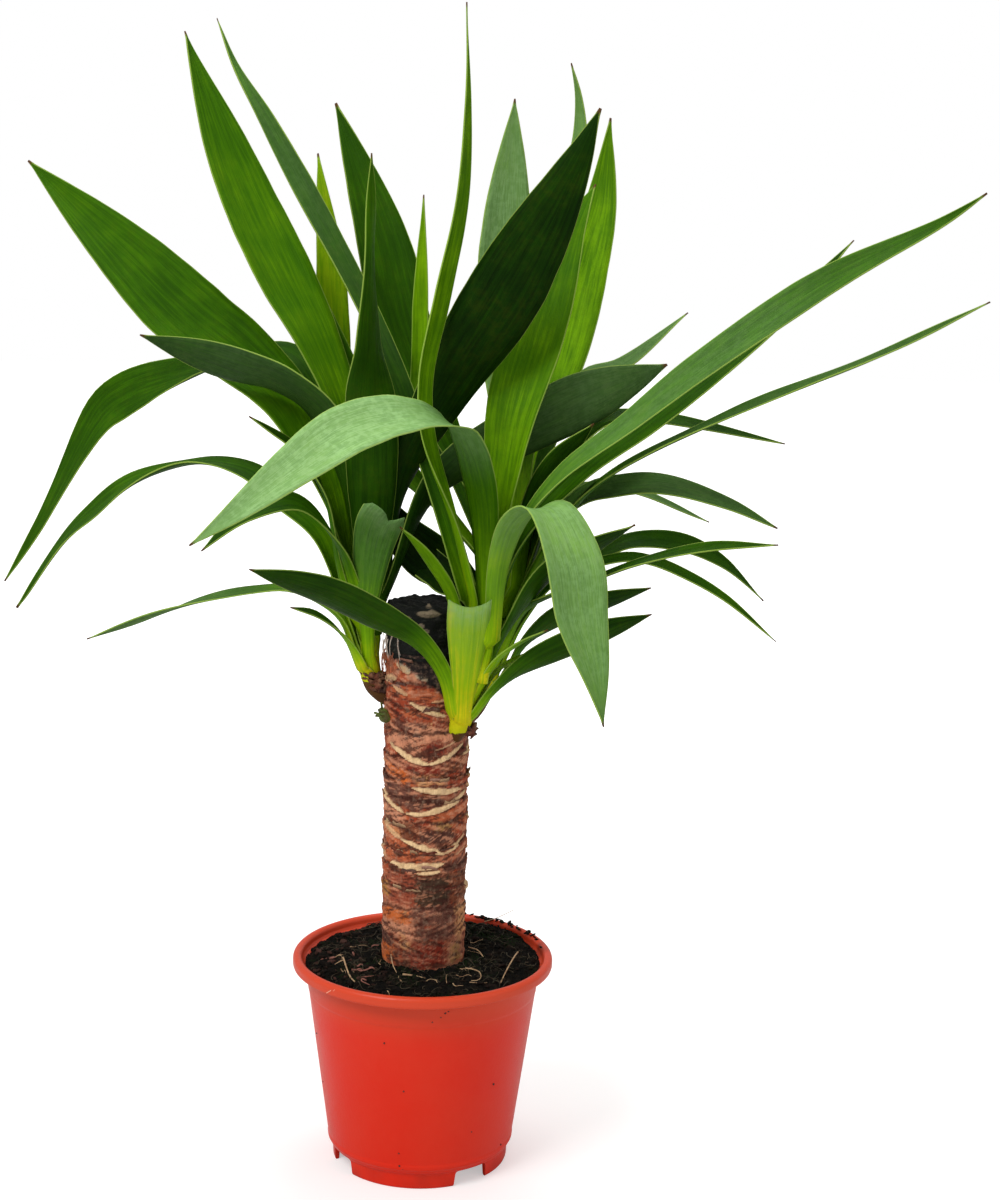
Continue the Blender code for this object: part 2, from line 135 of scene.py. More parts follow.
def newGroup(name, inputs, outputs):
    group = bpy.data.node_groups.new(name, "ShaderNodeTree")
    for socketName, kind in inputs:
        group.interface.new_socket(name=socketName, in_out="INPUT", socket_type=kind)
    for socketName, kind in outputs:
        group.interface.new_socket(name=socketName, in_out="OUTPUT", socket_type=kind)
    return group, put(group, "NodeGroupInput"), put(group, "NodeGroupOutput")


def useGroup(tree, group, **inputs):
    node = put(tree, "ShaderNodeGroup", node_tree=group)
    plugIn(tree, node, inputs)
    return node


def newMaterial(name, roughness, specular=0.5):
    material = bpy.data.materials.new(name)
    material.use_nodes = True
    shader = material.node_tree.nodes["Principled BSDF"]
    shader.inputs["Roughness"].default_value = roughness
    shader.inputs["Specular IOR Level"].default_value = specular
    return material, material.node_tree, shader


def paintWith(tree, shader, colour):
    tree.links.new(colour, shader.inputs["Base Color"])


def addBump(tree, shader, height, strength, distance):
    bump = put(tree, "ShaderNodeBump", {"Height": height, "Strength": strength, "Distance": distance})
    tree.links.new(bump.outputs["Normal"], shader.inputs["Normal"])


# Shared effects: soft patches, and long fibres that follow one direction

floatSocket, vectorSocket = "NodeSocketFloat", "NodeSocketVector"

patches, patchIn, patchOut = newGroup(
    "patches", [("Vector", vectorSocket), ("Scale", floatSocket), ("Low", floatSocket), ("High", floatSocket)],
    [("Mask", floatSocket)])
patchNoise = put(patches, "ShaderNodeTexNoise", {"Vector": patchIn.outputs["Vector"],
                                                 "Scale": patchIn.outputs["Scale"],
                                                 "Detail": 4.0, "Roughness": 0.6})
patches.links.new(remap(patches, patchNoise.outputs[0], patchIn.outputs["Low"], patchIn.outputs["High"]),
                  patchOut.inputs["Mask"])

fibres, fibreIn, fibreOut = newGroup(
    "fibres", [("Vector", vectorSocket), ("Across", floatSocket), ("Along", floatSocket)],
    [("Mask", floatSocket), ("Fine", floatSocket)])
stretch = put(fibres, "ShaderNodeCombineXYZ", {"X": fibreIn.outputs["Across"], "Y": fibreIn.outputs["Along"],
                                               "Z": fibreIn.outputs["Across"]})
stretched = put(fibres, "ShaderNodeVectorMath", {0: fibreIn.outputs["Vector"], 1: stretch.outputs[0]},
                operation="MULTIPLY")
broad = put(fibres, "ShaderNodeTexNoise", {"Vector": stretched.outputs[0], "Scale": 1.0, "Detail": 3.0})
fine = put(fibres, "ShaderNodeTexNoise", {"Vector": stretched.outputs[0], "Scale": 3.1, "Detail": 2.0})
fibres.links.new(remap(fibres, broad.outputs[0], 0.3, 0.7), fibreOut.inputs["Mask"])
fibres.links.new(remap(fibres, fine.outputs[0], 0.3, 0.7), fibreOut.inputs["Fine"])


def patchMask(tree, place, scale, low, high):
    return useGroup(tree, patches, Vector=place, Scale=scale, Low=low, High=high).outputs[0]


# From a bmesh or a curve to an object, and to a piece that stands for some CAD nodes

def meshFrom(name, bm):
    # some operators number what they make differently each run, so everything is put in one order
    slant = Vector((1.0, 2.6458, 7.1414))
    bm.verts.sort(key=lambda vert: vert.co.dot(slant))
    bm.edges.sort(key=lambda edge: (edge.verts[0].co + edge.verts[1].co).dot(slant))
    bm.faces.sort(key=lambda face: face.calc_center_median().dot(slant))
    mesh = bpy.data.meshes.new(name)
    bm.to_mesh(mesh)
    bm.free()
    return mesh


def addObject(name, data):
    thing = bpy.data.objects.new(name, data)
    bpy.context.scene.collection.objects.link(thing)
    return thing


def settledMesh(thing):
    # the object's mesh with everything applied; the object itself is removed
    mesh = bpy.data.meshes.new_from_object(thing.evaluated_get(bpy.context.evaluated_depsgraph_get()))
    bpy.data.objects.remove(thing)
    return mesh


def tubes(name, runs, roundness, perSpan, merge):
    # round tubes along curves: each run is a list of places and radii in mm
    curve = bpy.data.curves.new(name, "CURVE")
    curve.dimensions = "3D"
    curve.bevel_depth = mm
    curve.bevel_resolution = roundness
    curve.use_fill_caps = True
    curve.resolution_u = perSpan
    for run in runs:
        spline = curve.splines.new("BEZIER")
        spline.bezier_points.add(len(run) - 1)
        for point, (place, radius) in zip(spline.bezier_points, run):
            point.co = Vector(place) * mm
            point.radius = radius
            point.handle_left_type = point.handle_right_type = "AUTO"
    bm = bmesh.new()
    bm.from_mesh(settledMesh(addObject(name + "Curve", curve)))
    bmesh.ops.remove_doubles(bm, verts=bm.verts, dist=merge)
    bmesh.ops.recalc_face_normals(bm, faces=bm.faces)
    return bm


def closeEnds(bm):
    bmesh.ops.holes_fill(bm, edges=[e for e in bm.edges if e.is_boundary], sides=0)


def finishPiece(name, bm, material, nodes):
    mesh = meshFrom(name, bm)
    mesh.shade_smooth()
    mesh.materials.append(material)
    piece = addObject(name, mesh)
    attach(piece, "root")
    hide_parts(*nodes)
    return piece


# Camera, floor and light

def makeCamera():
    view = {"lens": 61.0, "place": (0.032, -0.9, 0.423), "down": 10.0, "roll": 1.3}
    data = bpy.data.cameras.new("camera")
    data.lens = view["lens"]
    data.sensor_width = 36.0
    camera = addObject("camera", data)
    camera.matrix_world = (Matrix.Translation(view["place"])
                           @ Matrix.Rotation(radians(90 - view["down"]), 4, "X")
                           @ Matrix.Rotation(radians(view["roll"]), 4, "Z"))
    bpy.context.scene.camera = camera


def makeFloor():
    bm = bmesh.new()
    bmesh.ops.create_circle(bm, cap_ends=True, segments=64, radius=6.0)
    mesh = meshFrom("floor", bm)
    material, tree, shader = newMaterial("paleFloor", roughness=0.8, specular=0.2)
    shader.inputs["Base Color"].default_value = (0.70, 0.70, 0.69, 1.0)
    shader.inputs["Emission Color"].default_value = (1.0, 1.0, 1.0, 1.0)
    seen = put(tree, "ShaderNodeLightPath").outputs["Is Camera Ray"]
    away = put(tree, "ShaderNodeVectorMath", {0: objectPlace(tree)}, operation="LENGTH").outputs["Value"]
    glow = remap(tree, away, 0.12, 0.8, 0.44, 1.0)  # the floor fades into the white behind it
    tree.links.new(times(tree, seen, glow), shader.inputs["Emission Strength"])
    mesh.materials.append(material)
    floor = addObject("floor", mesh)


def makeLights():
    lights = [  # name, place, size, watts
        ("keyLight", (-0.7, -0.85, 1.3), 0.7, 13.0),
        ("fillLight", (1.1, -0.7, 0.7), 0.9, 1.5),
        ("topLight", (0.1, 0.3, 1.6), 0.8, 10.0),
    ]
    aim = Vector((0, 0, 0.28))
    for name, place, size, watts in lights:
        data = bpy.data.lights.new(name, "AREA")
        data.shape = "DISK"
        data.size = size
        data.energy = watts
        light = addObject(name, data)
        light.matrix_world = (Matrix.Translation(place)
                              @ (aim - Vector(place)).to_track_quat("-Z", "Y").to_matrix().to_4x4())
    world = bpy.data.worlds.new("studio")
    world.use_nodes = True
    background = world.node_tree.nodes["Background"]
    background.inputs["Color"].default_value = (1.0, 1.0, 1.0, 1.0)
    seen = put(world.node_tree, "ShaderNodeLightPath").outputs["Is Camera Ray"]
    world.node_tree.links.new(remap(world.node_tree, seen, 0.0, 1.0, 0.48, 1.0), background.inputs["Strength"])
    bpy.context.scene.world = world
    bpy.context.scene.view_settings.view_transform = "Standard"


makeCamera()
makeFloor()
makeLights()
print("camera, floor and lights are in place")


# Pot

pot = {
    "radius": 60.0, "height": 98.0, "lipHeight": 5.2, "lipThick": 4.2, "wall": 1.6,
    "shoulder": 54.2, "base": 42.5, "ledgeDrop": 16.5,
    "footRadius": 41.0, "footHeight": 7.5, "footThick": 2.4, "floorThick": 1.6,
    "notches": (-150.0, -52.5, 30.0, 127.5), "notchWidth": 16.5,
    "drains": 6, "drainRing": 24.0, "drainRadius": 3.2, "segments": 144,
    "stainAt": 22, "stainHalf": 26,  # where damp peat has stained the rim
}


def potWall(z):
    # outside radius of the wall
    slope = (pot["shoulder"] - pot["base"]) / (pot["height"] - pot["lipHeight"] - pot["footHeight"])
    return pot["base"] + slope * (z - pot["footHeight"])


def heldCorners(points, hold=0.3):
    # a point close to both ends of each long stretch keeps the shading crisp at its bends
    held = [points[0]]
    for (r0, z0), (r1, z1) in zip(points, points[1:]):
        long = sqrt((r1 - r0) ** 2 + (z1 - z0) ** 2)
        if long > 3 * hold:
            for share in (hold / long, 1 - hold / long):
                held.append((mix(r0, r1, share), mix(z0, z1, share)))
        held.append((r1, z1))
    return held


def potProfile():
    top, radius = pot["height"], pot["radius"]
    lipBottom = top - pot["lipHeight"]
    ledge = top - pot["ledgeDrop"]
    under = pot["footHeight"] + 0.3
    floorTop = under + pot["floorThick"]
    inner = potWall(lipBottom) - pot["wall"]
    foot = pot["footRadius"]
    lip = []
    for step in range(13):  # the rolled lip, from its inside over the top to its outside
        turn = radians(180 - 15 * step)
        lip.append((radius - pot["lipThick"] / 2 + pot["lipThick"] / 2 * cos(turn), top - 2.1 + 2.1 * sin(turn)))
    inside = [(0.0, floorTop), (30.0, floorTop), (potWall(floorTop) - pot["wall"] - 1.2, floorTop),
              (potWall(floorTop) - pot["wall"] - 0.3, floorTop + 0.4),
              (potWall(floorTop + 1.4) - pot["wall"], floorTop + 1.4),
              (potWall(40) - pot["wall"], 40), (potWall(70) - pot["wall"], 70),
              (inner, lipBottom - 0.5), (radius - pot["lipThick"] - 0.9, lipBottom + 0.8),
              (radius - pot["lipThick"] - 0.2, lipBottom + 2.0)]
    outside = [(radius, lipBottom + 1.0), (radius - 0.25, lipBottom + 0.3), (radius - 0.8, lipBottom),
               (pot["shoulder"] + 0.9, lipBottom), (pot["shoulder"] + 0.25, lipBottom - 0.25),
               (pot["shoulder"], lipBottom - 0.9), (potWall(ledge + 6) + 0.1, ledge + 6),
               (potWall(ledge) + 0.3, ledge + 1.2), (potWall(ledge) + 0.2, ledge + 0.5),
               (potWall(ledge) - 0.15, ledge - 0.4), (potWall(ledge) - 0.2, ledge - 1.2),
               (potWall(60), 60), (potWall(35), 35), (potWall(12.6), 12.6),
               (potWall(11.4) + 0.28, 11.4), (potWall(10.2) + 0.3, 10.2), (potWall(9.4) - 0.15, 9.3),
               (pot["base"] - 0.35, 8.3), (pot["base"] - 0.9, 7.7), (foot + 0.15, 7.2), (foot - 0.05, 6.4),
               (foot - 0.35, 1.0), (foot - 0.6, 0.25), (foot - 1.0, 0.0), (foot - 1.9, 0.0),
               (foot - 2.25, 0.25), (foot - pot["footThick"], 0.8), (foot - pot["footThick"], under - 0.4),
               (foot - pot["footThick"] - 0.4, under), (20.0, under), (0.0, under)]
    return heldCorners(inside + lip + outside)


def plasticMaterial():
    # the paler colour for the lip is a painted highlight, and the dark red for the inside is painted shade
    look = {"body": (0.80, 0.020, 0.002), "worn": (0.80, 0.045, 0.014), "lip": (0.70, 0.075, 0.026),
            "innerShade": (0.13, 0.006, 0.004), "dirt": (0.03, 0.014, 0.01)}
    material, tree, shader = newMaterial("mouldedPlastic", roughness=0.34, specular=0.26)
    place = objectPlace(tree)
    height = put(tree, "ShaderNodeSeparateXYZ", {0: place}).outputs["Z"]
    cloud = patchMask(tree, place, scale=28.0, low=0.35, high=0.7)
    grain = patchMask(tree, place, scale=650.0, low=0.3, high=0.7)
    drag = useGroup(tree, fibres, Vector=place, Across=70.0, Along=900.0)
    colour = blendColours(tree, times(tree, cloud, 0.3), look["body"], look["worn"])
    high = remap(tree, height, 0.070, 0.0936, 0.0, 0.8)  # painted highlight: the upper part is a little paler, the lip most
    colour = blendColours(tree, high, colour, look["lip"])
    # painted shade darkens the inside of the wall
    colour = blendColours(tree, vertexValue(tree, "innerShade"), colour, look["innerShade"])
    grime = calc(tree, "MULTIPLY", vertexValue(tree, "grime"), plus(tree, 0.45, cloud), clamp=True)
    colour = blendColours(tree, grime, colour, look["dirt"])
    paintWith(tree, shader, colour)
    rough = remap(tree, plus(tree, times(tree, grain, 0.5), cloud), 0.0, 1.5, 0.30, 0.42)
    tree.links.new(rough, shader.inputs["Roughness"])
    addBump(tree, shader, plus(tree, grain, drag.outputs["Fine"]), strength=0.12, distance=0.0002)
    return material


def makePot():
    bm = bmesh.new()
    ring = [bm.verts.new((r * mm, 0, z * mm)) for r, z in potProfile()]
    edges = [bm.edges.new(pair) for pair in zip(ring, ring[1:])]
    bmesh.ops.spin(bm, geom=ring + edges, cent=(0, 0, 0), axis=(0, 0, 1), angle=2 * pi,
                   steps=pot["segments"], use_merge=True)
    bmesh.ops.remove_doubles(bm, verts=bm.verts, dist=1e-6)
    bmesh.ops.recalc_face_normals(bm, faces=bm.faces)
    shell = addObject("potShell", meshFrom("potShell", bm))

    cutters = bmesh.new()
    for angle in pot["notches"]:
        made = bmesh.ops.create_cube(cutters, size=1.0)["verts"]
        for vert in made:
            wide = pot["notchWidth"] + (1.8 if vert.co.z < 0 else 0.0)
            vert.co = Vector(((pot["footRadius"] - 1.2 + vert.co.x * 6.4) * mm, vert.co.y * wide * mm,
                              (pot["footHeight"] - 0.2 if vert.co.z > 0 else -1.0) * mm))
        upright = [e for e in cutters.edges if all(v in made for v in e.verts)
                   and all(v.co.z > 0 for v in e.verts) and abs(e.verts[0].co.y - e.verts[1].co.y) < 1e-6]
        rounded = bmesh.ops.bevel(cutters, geom=upright, offset=1.4 * mm, affect="EDGES", segments=3,
                                  profile=0.5, material=-1)
        turned = list(dict.fromkeys([v for v in made if v.is_valid] + rounded["verts"]))
        bmesh.ops.rotate(cutters, verts=turned, cent=(0, 0, 0), matrix=Matrix.Rotation(radians(angle), 3, "Z"))
    spots = [(0.0, 0.0)]
    for index in range(pot["drains"]):
        turn = 2 * pi * index / pot["drains"]
        spots.append((pot["drainRing"] * cos(turn), pot["drainRing"] * sin(turn)))
    for x, y in spots:
        bmesh.ops.create_cone(cutters, cap_ends=True, segments=24, radius1=pot["drainRadius"] * mm,
                              radius2=pot["drainRadius"] * mm, depth=10 * mm,
                              matrix=Matrix.Translation((x * mm, y * mm, pot["footHeight"] * mm)))
    cutter = addObject("potCutters", meshFrom("potCutters", cutters))
    boolean = shell.modifiers.new("holes", "BOOLEAN")
    boolean.operation = "DIFFERENCE"
    boolean.solver = "EXACT"
    boolean.object = cutter
    holed = settledMesh(shell)
    bpy.data.objects.remove(cutter)

    bm = bmesh.new()
    bm.from_mesh(holed)
    innerShade = bm.verts.layers.float.new("innerShade")
    grime = bm.verts.layers.float.new("grime")
    for vert in bm.verts:
        x, y, z = vert.co / mm
        out = sqrt(x * x + y * y)
        speckle = 0.5 + noise.noise(Vector((x, y, z)) * 0.15)
        # the foot gets darker towards its bottom edge, in speckles
        if z < 10 and out > 30:
            vert[grime] = 0.25 * eased((9 - z) / 4) * speckle
        # painted shade on the inside of the wall, from just below the top of the lip down
        if z > 10 and out < min(potWall(z) - 0.9, 57.5):
            vert[innerShade] = 0.9 * eased((97.9 - z) / 0.9)
        if z > 93 and out > 54:
            gap = abs(angleGap(degrees(atan2(y, x)), pot["stainAt"])) / pot["stainHalf"]
            vert[grime] = 0.9 * eased(1 - gap) * speckle
    piece = finishPiece("pot", bm, plasticMaterial(), ["pot"])
    piece.data.set_sharp_from_angle(angle=radians(38))
    return piece


makePot()
print("pot is made")


# Cane

cane = {
    "radius": 19.4, "foot": 70.0, "top": 241.5, "around": 240, "rows": 330, "warmth": (1.58, 1.22, 0.95),
    "smoothBelow": 132,  # the bark lies flatter under this height
    "layers": (80, 90, 101, 112, 122, 133, 143, 152, 163, 174, 184, 195, 206, 217, 228, 238),
    # where the black seal ends on the bark: heights at every 30 degrees from -180 to 180
    "sealEdge": (243, 241.5, 237, 230.5, 222.5, 221, 227, 234, 238, 240, 241, 242, 243),
    # pale scars where leaves came away: height, direction, half width in degrees, thickness,
    # rise from one end to the other, sag of the middle, how pale
    "scars": (
        (235.5, -122, 11, 3.8, -3.0, 0.2, 0.75), (231.5, -95, 9, 2.2, -2.0, 0.0, 0.6),
        (229.5, -151, 16, 3.4, 1.5, 0.0, 0.7), (225.0, -127, 13, 2.4, -3.5, 0.0, 0.6),
        (221.5, -68, 14, 0.9, 1.5, 0.0, 0.6), (217.0, -87, 25, 2.6, -5.8, 0.3, 1.0),
        (195.8, -115, 31, 2.8, -8.0, 0.8, 1.0), (196.0, -57, 28, 2.5, 8.0, 0.8, 1.0),
        (201.5, -52, 24, 0.9, 6.0, 0.6, 0.5), (180.0, -70, 37, 2.8, -2.0, 0.9, 1.0),
        (173.0, -143, 26, 2.6, -8.0, 0.4, 0.95), (172.3, -68, 48, 2.8, 8.8, 2.2, 0.95),
        (160.3, -141, 19, 3.2, -6.5, 0.3, 0.55), (153.6, -91, 31, 2.8, -6.5, 0.2, 1.0),
        (153.5, -42, 22, 2.0, 7.0, 0.6, 0.85), (144.8, -101, 41, 3.1, 0.8, 0.5, 1.0),
        (141.9, -82, 16, 1.9, 1.0, 0.2, 0.95), (148.5, -163, 10, 5.0, -3.0, 0.0, 0.5),
        (150.0, -30, 12, 1.2, 2.0, 0.0, 0.4), (190.5, -168, 10, 1.6, 1.0, 0.0, 0.6),
    ),
    # patches of bark, each its own colour: colour, height from and to, direction from and to, rise
    "patches": (
        ("rust", 220.5, 228.5, -148, -60, -2), ("darkRed", 227.3, 229.3, -138, -66, -1.5),
        ("red", 211.5, 220.5, -146, -62, -3), ("rust", 213, 217.5, -122, -90, -2),
        ("plum", 205.5, 211.5, -138, -86, -2), ("darkRed", 208, 212, -84, -20, 1),
        ("pinkTan", 202, 208.5, -106, -24, -1.5), ("pinkTan", 196, 206.5, -152, -88, -7),
        ("darkRed", 195.5, 203.5, -87, -65, 0), ("brownPink", 199, 203.5, -64, -22, 5),
        ("brownPink", 188.5, 193.5, -172, -116, 0), ("darkRed", 187.3, 192.3, -114, -64, -1),
        ("brown", 187, 193, -62, -16, 3), ("orange", 183, 189.3, -150, -108, -4),
        ("tan", 182.3, 187, -106, -58, -0.5), ("red", 182, 188, -56, -16, 1),
        ("plum", 172, 183, -166, -92, -5), ("plumDark", 171.5, 178, -102, -62, 2.5),
        ("brownPink", 174, 179, -62, -16, 4), ("pinkTan", 164, 170.8, -174, -112, -3),
        ("red", 163, 167.5, -112, -78, 0), ("rust", 165, 171.5, -76, -12, 3.5),
        ("orangeTan", 157, 164, -164, -122, -4), ("brown", 155.5, 164, -122, -94, -3),
        ("plumDark", 154.8, 162, -96, -42, 0), ("oliveTan", 161.5, 165, -76, -46, 0),
        ("rust", 146, 156.5, -158, -86, -4), ("pinkRust", 146, 152, -85, -16, 3),
        ("plum", 141.5, 146, -60, -10, 1), ("redMottle", 125.5, 141.5, -150, -94, 0),
        ("blackGreen", 125, 140.5, -100, -46, 0), ("brown", 125, 141, -46, 0, 0),
        ("ochre", 128, 135, -176, -140, 0), ("orange", 117, 123, -174, -102, 0.5),
        ("plum", 116, 126, -100, -40, 0), ("tan", 111, 125, -38, -6, 0),
        ("pinkTan", 110.5, 116.5, -180, -96, -1), ("plum", 110, 116, -94, -38, 0),
        ("plumDark", 103, 110.5, -170, -130, 0), ("tan", 105.5, 111.5, -124, -104, -3),
        ("orange", 97, 105, -178, -132, 0), ("darkRed", 97, 109, -104, -56, 0),
        ("oliveTan", 98, 106.5, -52, -18, 0),
    ),
}
barkColours = {
    "black": (0.012, 0.010, 0.010), "blackGreen": (0.032, 0.026, 0.018), "plumDark": (0.055, 0.026, 0.024),
    "plum": (0.115, 0.055, 0.046), "brown": (0.155, 0.060, 0.032), "darkRed": (0.170, 0.024, 0.013),
    "red": (0.270, 0.052, 0.024), "redMottle": (0.250, 0.070, 0.042), "rust": (0.385, 0.115, 0.052),
    "orange": (0.480, 0.140, 0.034), "pinkRust": (0.400, 0.165, 0.105), "brownPink": (0.300, 0.140, 0.098),
    "pinkTan": (0.500, 0.275, 0.195), "orangeTan": (0.490, 0.240, 0.110), "tan": (0.530, 0.340, 0.185),
    "oliveTan": (0.290, 0.205, 0.085), "ochre": (0.400, 0.225, 0.060), "scar": (0.640, 0.580, 0.400),
    "line": (0.085, 0.020, 0.012), "shadow": (0.045, 0.014, 0.010),
}
sideBark = ("plumDark", "plum", "darkRed", "brown", "red", "rust", "brownPink", "pinkRust", "pinkTan", "tan")


def mixColour(a, b, share):
    return tuple(mix(x, y, share) for x, y in zip(a, b))


def barkTables():
    # for each column round the cane: its layer edges, the scars and the patches that cross it
    rng = Random(11)
    layers = []
    for number, height in enumerate(cane["layers"]):
        slant, turn = rng.uniform(0.5, 2.0), rng.uniform(0, 2 * pi)
        row = []
        for step in range(cane["around"]):
            angle = 2 * pi * step / cane["around"]
            wobble = noise.noise(Vector((cos(angle) * 1.4, sin(angle) * 1.4, number * 5.3)))
            ragged = noise.noise(Vector((cos(angle) * 9, sin(angle) * 9, number * 3.1)))
            row.append(height + slant * cos(angle - turn) + 1.8 * wobble + 0.8 * ragged)
        layers.append(row)
    scars = list(cane["scars"])
    for height in cane["layers"][5:]:  # the sides that the list above doesn't describe
        for side in range(3):
            if rng.random() < 0.8:
                scars.append((height + rng.uniform(-3, 3), 10 + 60 * side + rng.uniform(-12, 12), rng.uniform(20, 42),
                              rng.uniform(1.8, 3.0), rng.uniform(-8, 8), rng.uniform(0.2, 1.8),
                              rng.uniform(0.6, 1.0)))
    columns = []
    for step in range(cane["around"]):
        turn = angleGap(360 * step / cane["around"], 0)
        lines = sorted((row[step], number) for number, row in enumerate(layers))
        active = []
        for number, (height, direction, wide, thick, rise, sag, pale) in enumerate(scars):
            gap = angleGap(turn, direction) / wide
            if abs(gap) < 1:
                ragged = noise.noise(Vector((gap * 6, number * 2.7, 0.5)))
                half = thick / 2 * (1 - gap * gap) ** 0.5 * (1 + 0.3 * ragged)
                active.append((height + rise * gap / 2 + sag * (gap * gap - 0.5) + 0.4 * ragged, half, pale))
        near = []
        for number, (colour, low, high, first, last, rise) in enumerate(cane["patches"]):
            inside = min(turn - first, last - turn)
            if inside > -8:
                up = rise * ((turn - first) / (last - first) - 0.5)
                near.append((barkColours[colour], low + up, high + up, inside, number * 4.3))
        columns.append((turn, lines, active, near))
    return columns


def barkAt(column, angle, z):
    # stand-off from the cane's radius in mm, and the colour
    turn, lines, active, near = column
    place = 0
    while place < len(lines) and lines[place][0] <= z:
        place += 1
    below = lines[place - 1] if place else (lines[0][0] - 7, -1)
    above = lines[place] if place < len(lines) else (lines[-1][0] + 7, len(lines))
    t = min(max((z - below[0]) / max(above[0] - below[0], 0.5), 0.0), 1.0)
    where = Vector((cos(angle), sin(angle), 0))
    lift = 0.5 + 0.5 * noise.noise(where * 1.7 + Vector((0, 0, above[1] * 2.9)))
    stand = mix(-0.6, 0.55 * (0.35 + lift), t ** 1.3)

    tint = 0.5 + 0.75 * noise.noise(where * 1.6 + Vector((3, 0, above[1] * 1.9)))
    tint += 0.35 * noise.noise(Vector((cos(angle) * 4, sin(angle) * 4, z * 0.11)))
    spot = min(max(tint, 0.0), 0.999) * (len(sideBark) - 1)
    colour = mixColour(barkColours[sideBark[int(spot)]], barkColours[sideBark[int(spot) + 1]], spot % 1)
    shade = eased((128 - z) / 20)
    colour = mixColour(colour, barkColours["plum"], 0.35 * shade)
    ragged = noise.noise(Vector((cos(angle) * 7, sin(angle) * 7, z * 0.4)))
    torn = noise.noise(Vector((cos(angle) * 22, sin(angle) * 22, z * 0.9)))
    sideways = angleGap(turn, -90)
    slope = 0.13 * sin(above[1] * 2.4 + 1)
    strand = noise.noise(Vector((sideways * 0.035, (z + slope * sideways) * 0.62, above[1] * 3.3)))
    strand += 0.6 * noise.noise(Vector((sideways * 0.10, (z - 1.5 * slope * sideways) * 1.6, above[1] * 1.7)))
    strand *= eased((180 - abs(sideways)) / 12)
    for paint, low, high, inside, seed in near:
        edge = min(z - low, high - z) + 1.8 * ragged + 0.9 * torn + 1.6 * strand
        side = inside + 16 * noise.noise(Vector((z * 0.25, seed, 0))) + 9 * torn + 10 * strand
        cover = 0.95 * eased(edge / 1.8 + 0.4) * eased(side / 9 + 0.5)
        if cover > 0:
            colour = mixColour(colour, paint, cover)
            if z > cane["smoothBelow"]:  # a thin dark line where one patch meets the next
                colour = mixColour(colour, barkColours["line"], 0.55 * eased(1 - abs(edge) / 0.55) * eased(side / 4))
    dark, light = barkColours["shadow"], barkColours["pinkTan"]
    if strand > 0:
        colour = mixColour(colour, light, 0.75 * eased((strand - 0.20) / 0.22) * mix(0.5, 1.0, eased((z - 110) / 30)))
    else:
        colour = mixColour(colour, dark, 0.85 * eased((-strand - 0.12) / 0.28))
    crease = z - below[0] + 0.8 * torn
    colour = mixColour(colour, dark, 0.9 * eased(1 - abs(crease - 0.6) / 1.5) * eased((z - 100) / 20 + 0.5))
    for middle, half, pale in active:
        gap = (z - middle) / max(half, 0.15)
        if abs(gap) < 2.2:
            beside = abs(z - middle) - half
            colour = mixColour(colour, barkColours["line"], 0.8 * pale * eased(1 - abs(beside - 0.35) / 0.45))
            colour = mixColour(colour, barkColours["scar"], pale * eased(0.5 - beside / 0.4))
            stand += 0.6 * pale * eased((1.25 - abs(gap)) / 0.35) * (1 - 0.5 * max(gap, 0))
            if -1.9 < gap < -1.0:
                stand -= 0.35 * pale
    seal = alongList(cane["sealEdge"], (turn + 180) / 360) + 2.4 * ragged + 1.2 * torn
    colour = mixColour(colour, barkColours["black"], 0.96 * eased((z - seal) / 1.6 + 0.5))
    stand += 0.3 * ragged + 0.18 * torn + 0.35 * strand
    warmth = mixColour((1, 1, 1), cane["warmth"], eased((seal - z) / 3))
    colour = tuple(value * gain for value, gain in zip(colour, warmth))
    if z < cane["smoothBelow"]:
        stand = mix(stand * 0.45 - 0.1, stand, eased((z - 100) / 32))
    return stand, colour


def barkMaterial():
    look = {"blot": (0.30, 0.16, 0.13), "streak": (0.55, 0.36, 0.24), "fine": (0.35, 0.22, 0.18)}
    material, tree, shader = newMaterial("layeredBark", roughness=0.8, specular=0.2)
    place = objectPlace(tree)
    upright = objectPlace(tree, (1.0, 1.0, 0.16))
    threads = patchMask(tree, upright, scale=900.0, low=0.35, high=0.65)
    streaks = patchMask(tree, upright, scale=330.0, low=0.35, high=0.65)
    blots = patchMask(tree, place, scale=230.0, low=0.42, high=0.66)
    specks = patchMask(tree, place, scale=520.0, low=0.42, high=0.7)
    colour = put(tree, "ShaderNodeAttribute", attribute_name="paint").outputs["Color"]
    colour = blendColours(tree, times(tree, blots, 0.30), colour, look["blot"], "MULTIPLY")
    pale = times(tree, streaks, times(tree, specks, 0.35))
    colour = blendColours(tree, pale, colour, look["streak"])
    fine = times(tree, calc(tree, "SUBTRACT", 1.0, threads), 0.30)
    colour = blendColours(tree, fine, colour, look["fine"], "MULTIPLY")
    paintWith(tree, shader, colour)
    bumpHeight = plus(tree, times(tree, threads, 0.6), times(tree, specks, 0.6))
    addBump(tree, shader, bumpHeight, strength=0.6, distance=0.0005)
    return material


def wrapGrid(bm, around, rows, shape):
    # a grid rolled into a tube round Z; shape gives the place of each vertex from its column and row
    grid = bmesh.ops.create_grid(bm, x_segments=around, y_segments=rows, size=1.0)["verts"]
    for vert in grid:
        column = round((vert.co.x + 1) / 2 * around) % around
        row = round((vert.co.y + 1) / 2 * rows)
        vert.co = shape(vert, column, row)
    bmesh.ops.remove_doubles(bm, verts=grid, dist=2e-6)


